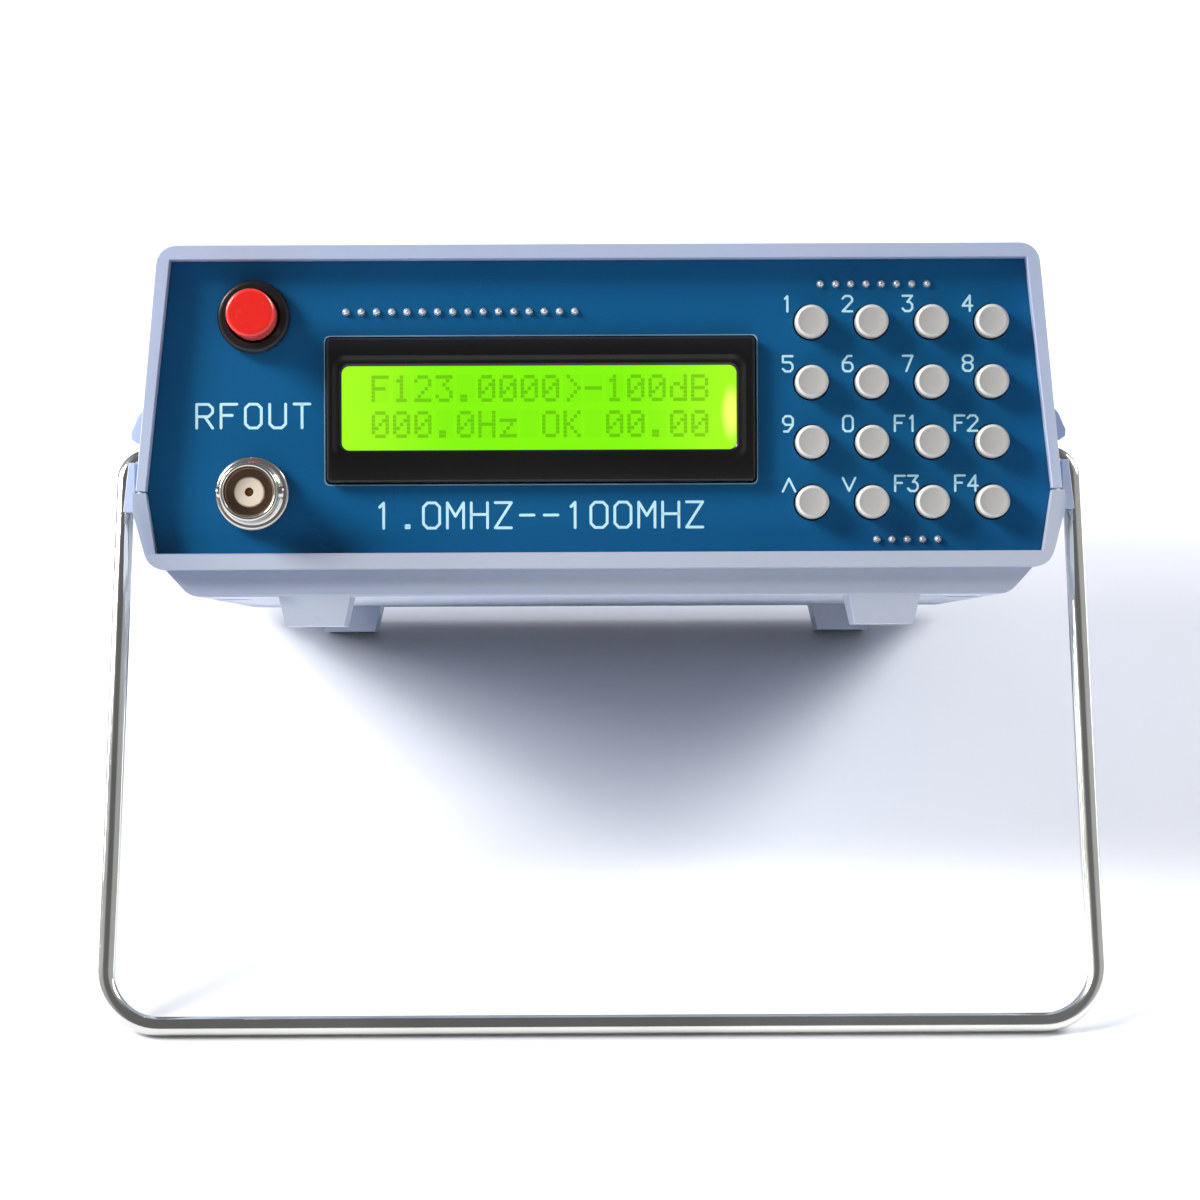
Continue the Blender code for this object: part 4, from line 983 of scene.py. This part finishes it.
class GENERATOR_OT_button(PieceOperator, bpy.types.Operator):
    """Red push button in its black collar"""

    bl_idname = "generator.button"
    bl_label = "Power Button"

    def execute(self, context):
        self.cap()
        self.collar()
        return {"FINISHED"}

    def cap(self):
        face, radius, soft = STAND_OUT_FACE, BUTTON_RADIUS, 0.6
        back = face + 14.5
        edge = arc((radius - soft, face + soft), soft, -90.0, 0.0, 7)
        profile = [(0.0, face + 0.02), (radius - soft - 0.6, face + 0.005), *edge]
        profile += [(radius, back), (0.0, back)]
        bm = bmesh.new()
        add_turned(bm, profile, BUTTON, 64)
        settle("red_button", bm, red_plastic(), BUTTON_BODY,
               ("power_button_cap",), 45.0)

    def collar(self):
        """The switch: a round collar before the panel, its neck and its wider body behind."""
        seat, bore = COLLAR_SEAT, BUTTON_RADIUS + 0.35
        shoulder, floor, back = 11.0, 11.6, 24.0
        rim = arc((bore + 0.35, seat - 1.85), 0.3, 180.0, 270.0, 4)
        rim += arc((5.25, seat - 1.35), 0.8, -90.0, 0.0, 6)
        profile = [(bore, floor), *rim, (6.1, seat), (5.0, seat), (5.0, shoulder)]
        profile += [(5.9, shoulder), (5.9, back), (0.0, back), (0.0, floor)]
        bm = bmesh.new()
        add_turned(bm, profile, BUTTON, 64)
        settle("button_collar", bm, black_plastic(), CASE_BODY,
               ("power_switch",), 45.0)


class GENERATOR_OT_socket(PieceOperator, bpy.types.Operator):
    """Nickel bayonet socket with studs, a bore darkened with painted shade and a painted brown
    reflection, ivory insulator and hollow gold contact
    """

    bl_idname = "generator.socket"
    bl_label = "Output Socket"

    def execute(self, context):
        self.shell()
        self.bore()
        self.studs()
        self.insulator()
        self.contact()
        return {"FINISHED"}

    def turned(self, profile, steps, name, material, slot, replaced=(), angle=32.0):
        """One turned piece on the socket's axis."""
        bm = bmesh.new()
        add_turned(bm, profile, SOCKET, steps)
        settle(name, bm, material, CASE_BODY, replaced, angle)

    def shell(self):
        face, seat = STAND_OUT_FACE, COLLAR_SEAT
        bore_floor, back, outer, bore, neck = 3.0, 14.0, 4.85, 4.15, 4.75
        lip = arc((4.45, face + 0.3), 0.3, 180.0, 270.0, 4)
        lip += arc((4.5, face + 0.35), 0.35, -90.0, 0.0, 4)
        base = [(outer, seat - 3.2), (5.05, seat - 3.0), (5.05, seat - 2.6)]
        base += [(5.3, seat - 2.4), (5.3, seat - 1.9)]
        base += arc((5.55, seat - 1.2), 0.65, -90.0, 0.0, 6)
        profile = [(bore, bore_floor), (bore, face + 5.2), (4.05, face + 5.0), (4.05, face + 4.6)]
        profile += [(bore, face + 4.4), *lip]
        profile += [(outer, face + 1.6), (4.7, face + 1.8), (4.7, face + 2.2), (outer, face + 2.4)]
        profile += [*base, (6.05, seat), (neck, seat), (neck, back)]
        profile += [(2.85, back), (2.85, bore_floor)]
        self.turned(profile, 64, "socket_shell", nickel(), "nickel", ("bnc_shell",), 35.0)

    def bore(self):
        """A sleeve inside the shell, coloured with painted shade and a painted brown reflection,
        with a ring-shaped floor round the insulator.
        """
        top, floor, outer, inner, hole = STAND_OUT_FACE + 1.2, STAND_OUT_FACE + 4.5, 4.0, 3.9, 2.55
        profile = [(outer, top), (outer, floor + 0.3), (hole, floor + 0.3)]
        profile += [(hole, floor), (inner, floor), (inner, top)]
        self.turned(profile, 48, "socket_bore", painted_bore_shade(), "nickel")

    def studs(self):
        bm = bmesh.new()
        for side in (-1.0, 1.0):
            rings = []
            for reach, radius in ((4.6, 1.0), (5.4, 1.0), (5.52, 0.92), (5.6, 0.7)):
                ring = circle((STAND_OUT_FACE + 4.0, SOCKET[1]), radius, 24)
                rings.append([(SOCKET[0] + side * reach, y, z) for y, z in ring])
            add_rings(bm, rings, caps=True)
        settle("socket_studs", bm, nickel(), CASE_BODY)

    def insulator(self):
        top, back = STAND_OUT_FACE + 1.6, 15.0
        profile = [(1.3, back), (1.3, top + 0.35), (0.72, top + 0.3), (0.72, top + 0.12)]
        profile += [(0.84, top), (2.3, top), (2.5, top + 0.2), (2.5, back)]
        self.turned(profile, 48, "socket_insulator", insulator(), "insulator_white",
                    ("bnc_insulator",))

    def contact(self):
        face, back = STAND_OUT_FACE, 18.0
        profile = [(0.0, back), (0.0, face + 6.0), (0.55, face + 6.0), (0.55, face + 2.3)]
        profile += [(0.75, face + 2.0), (1.0, face + 2.2), (1.0, back)]
        self.turned(profile, 32, "socket_contact", gold(), "gold", ("bnc_contact",))


class GENERATOR_OT_bail(PieceOperator, bpy.types.Operator):
    """Chrome wire bail, one bent rod with flat ends"""

    bl_idname = "generator.bail"
    bl_label = "Bail"

    def execute(self, context):
        half_width, foot_half_width, reach, radius = 79.7, 81.28, 96.5, 1.6
        inner_end, pivot_bend, foot_bend, sides = 71.0, 4.0, 9.0, 28
        lean = math.radians(13.2)
        splay = foot_half_width - half_width
        side = [(inner_end, 0.0)]
        side += arc((half_width - pivot_bend, pivot_bend), pivot_bend, -90.0, 0.0, 10)
        side += [(half_width + splay * share, reach * share) for share in (0.25, 0.5, 0.7)]
        corner = (foot_half_width - foot_bend, reach - foot_bend)
        side += arc(corner, foot_bend, 0.0, 90.0, 14)
        route = [(-x, down) for x, down in side] + [(x, down) for x, down in reversed(side)]
        bm = bmesh.new()
        rings = []
        for i, (x, down) in enumerate(route):
            ahead = route[min(i + 1, len(route) - 1)]
            behind = route[max(i - 1, 0)]
            along = Vector((ahead[0] - behind[0], behind[1] - ahead[1])).normalized()
            ring = []
            for step in range(sides):
                angle = 2 * math.pi * step / sides
                out, deep = radius * math.cos(angle), radius * math.sin(angle)
                flat_x, flat_z = x - along.y * out, -down + along.x * out
                y = PIVOT.y + deep * math.cos(lean) + flat_z * math.sin(lean)
                z = PIVOT.z - deep * math.sin(lean) + flat_z * math.cos(lean)
                ring.append((flat_x, y, z))
            rings.append(ring)
        add_rings(bm, rings, caps=True)
        settle("wire_bail", bm, chrome(), BAIL_BODY, ("bail_handle",), 50.0)
        return {"FINISHED"}


CARRIED = (
    (zinc_steel, (
        "bnc_washer", "board_screw_1", "board_screw_2", "board_screw_3", "board_screw_4",
        "case_screw_1", "case_screw_2", "case_screw_3", "case_screw_4",
    )),
    (nickel, ("bnc_nut", "supply_jack_nut", "supply_jack_pin")),
    (black_plastic, (
        "power_switch_nut", "lcd_header", "keypad_header", "lower_header", "microcontroller",
        "voltage_regulator", "smoothing_capacitor", "supply_jack", "coax_lead",
    )),
    (red_plastic, ("supply_lead",)),
    (board_green, ("keypad_board", "lcd_board", "main_board")),
    (tinplate, ("shield_can", "reference_oscillator")),
    (aluminium, ("heat_sink",)),
    (diffuser_white, ("lcd_backlight",)),
)


class GENERATOR_OT_inner(PieceOperator, bpy.types.Operator):
    """Finishes for the pieces whose shape stays: boards, parts, headers, nuts and screws"""

    bl_idname = "generator.inner"
    bl_label = "Inner Pieces"

    def execute(self, context):
        for make, nodes in CARRIED:
            for node in nodes:
                repaint(node, make())
        return {"FINISHED"}


# Name, aim and place in frame metres, side in metres, watts and colour of each lamp
LAMPS = (
    ("key lamp", (0.0, 0.0, 0.06), (-0.81, -0.20, 0.78), 0.36, 13.0, (1.0, 0.99, 0.97)),
    ("left back lamp", (0.0, 0.0, 0.0), (-1.43, 0.155, 0.66), 0.52, 22.5, (1.0, 1.0, 1.0)),
    ("right back lamp", (0.0, 0.0, 0.0), (1.235, 0.49, 0.77), 0.64, 28.0, (0.97, 0.98, 1.0)),
)
ROOM_COLOUR = (0.165, 0.165, 0.175, 1.0)
SCREEN_COLOUR = (0.50, 0.51, 0.52, 1.0)
FLOOR_COLOURS = ((0.775, 0.785, 0.82, 1.0), (0.80, 0.81, 0.84, 1.0))
# The camera's place and aim in case millimetres, its roll in degrees and its lens
EYE = (-4.1, -720.0, -6.9)
LOOK_AT = (0.05, 0.0, 4.06)
CAMERA_ROLL = -0.25
FOCAL_LENGTH = 130.57


def add_lamp(name, target, place, side, power, colour):
    """A soft square lamp at a place in the frame, aimed at a point."""
    lamp = bpy.data.lights.new(name, "AREA")
    lamp.shape = "RECTANGLE"
    lamp.size = side
    lamp.size_y = side
    lamp.energy = power
    lamp.color = colour
    obj = bpy.data.objects.new(name, lamp)
    bpy.context.scene.collection.objects.link(obj)
    obj.location = place
    obj.rotation_euler = (Vector(target) - Vector(place)).to_track_quat("-Z", "Y").to_euler()


class GENERATOR_OT_stage(PieceOperator, bpy.types.Operator):
    """Pale floor, soft lamps and the camera in front of the panel"""

    bl_idname = "generator.stage"
    bl_label = "Stage"

    def execute(self, context):
        self.floor()
        self.lamps(context.scene)
        self.camera(context.scene)
        return {"FINISHED"}

    def floor(self):
        bm = bmesh.new()
        bmesh.ops.create_grid(bm, x_segments=2, y_segments=2, size=3.0)
        mesh = bpy.data.meshes.new("floor")
        bm.to_mesh(mesh)
        bm.free()
        obj = bpy.data.objects.new("floor", mesh)
        bpy.context.scene.collection.objects.link(obj)
        made, tree, shader = principled("pale floor")
        colour = mixed(tree, ranged(tree, noise(tree, 3.0), 0.3, 0.7), *FLOOR_COLOURS)
        tree.links.new(colour, shader.inputs["Base Color"])
        shader.inputs["Roughness"].default_value = 0.6
        mesh.materials.append(made)

    def lamps(self, scene):
        world = bpy.data.worlds.new("studio")
        scene.world = world
        world.use_nodes = True
        self.sky(world.node_tree)
        for lamp in LAMPS:
            add_lamp(*lamp)
        scene.view_settings.view_transform = "Standard"

    def sky(self, tree):
        """Grey studio room, brighter to the left and right."""
        background = tree.nodes["Background"]
        split = tree.nodes.new("ShaderNodeSeparateXYZ")
        direction = tree.nodes.new("ShaderNodeTexCoord").outputs["Generated"]
        tree.links.new(direction, split.inputs[0])
        sideways = value_node(tree, "ABSOLUTE", split.outputs["X"], 0.0)
        colour = mixed(tree, ranged(tree, sideways, 0.35, 0.70), ROOM_COLOUR, SCREEN_COLOUR)
        tree.links.new(colour, background.inputs["Color"])
        background.inputs["Strength"].default_value = 1.0

    def camera(self, scene):
        lens = bpy.data.cameras.new("camera")
        lens.lens = FOCAL_LENGTH
        lens.sensor_width = 36.0
        lens.clip_end = 20.0
        obj = bpy.data.objects.new("camera", lens)
        scene.collection.objects.link(obj)
        eye = CASE @ Vector(EYE)
        forward = (CASE @ Vector(LOOK_AT) - eye).normalized()
        case_up = (CASE.to_3x3() @ Vector((0.0, 0.0, 1.0))).normalized()
        right = forward.cross(case_up).normalized()
        up = right.cross(forward)
        turn = Matrix((right, up, -forward)).transposed()
        roll = Matrix.Rotation(math.radians(CAMERA_ROLL), 3, "Z")
        obj.matrix_world = Matrix.Translation(eye) @ (turn @ roll).to_4x4()
        scene.camera = obj


class GENERATOR_PT_panel(bpy.types.Panel):
    """Sidebar list of the build steps"""

    bl_idname = "GENERATOR_PT_panel"
    bl_label = "Bench Signal Generator"
    bl_space_type = "VIEW_3D"
    bl_region_type = "UI"
    bl_category = "Generator"

    def draw(self, context):
        for name in GeneratorLooks.__annotations__:
            self.layout.prop(context.scene.generator_looks, name)
        for operator in OPERATORS:
            self.layout.operator(operator.bl_idname)


OPERATORS = (
    GENERATOR_OT_stage,
    GENERATOR_OT_case,
    GENERATOR_OT_panel,
    GENERATOR_OT_legends,
    GENERATOR_OT_solder,
    GENERATOR_OT_display,
    GENERATOR_OT_keys,
    GENERATOR_OT_button,
    GENERATOR_OT_socket,
    GENERATOR_OT_bail,
    GENERATOR_OT_inner,
)
CLASSES = (GeneratorLooks, *OPERATORS, GENERATOR_PT_panel)


def register():
    for item in CLASSES:
        bpy.utils.register_class(item)
    bpy.types.Scene.generator_looks = bpy.props.PointerProperty(type=GeneratorLooks)


def unregister():
    del bpy.types.Scene.generator_looks
    for item in reversed(CLASSES):
        bpy.utils.unregister_class(item)


def main():
    register()
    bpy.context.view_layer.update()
    bpy.ops.generator.stage()
    bpy.ops.generator.case()
    bpy.ops.generator.panel()
    bpy.ops.generator.legends()
    bpy.ops.generator.solder()
    bpy.ops.generator.display()
    bpy.ops.generator.keys()
    bpy.ops.generator.button()
    bpy.ops.generator.socket()
    bpy.ops.generator.bail()
    bpy.ops.generator.inner()


if __name__ == "__main__":
    main()
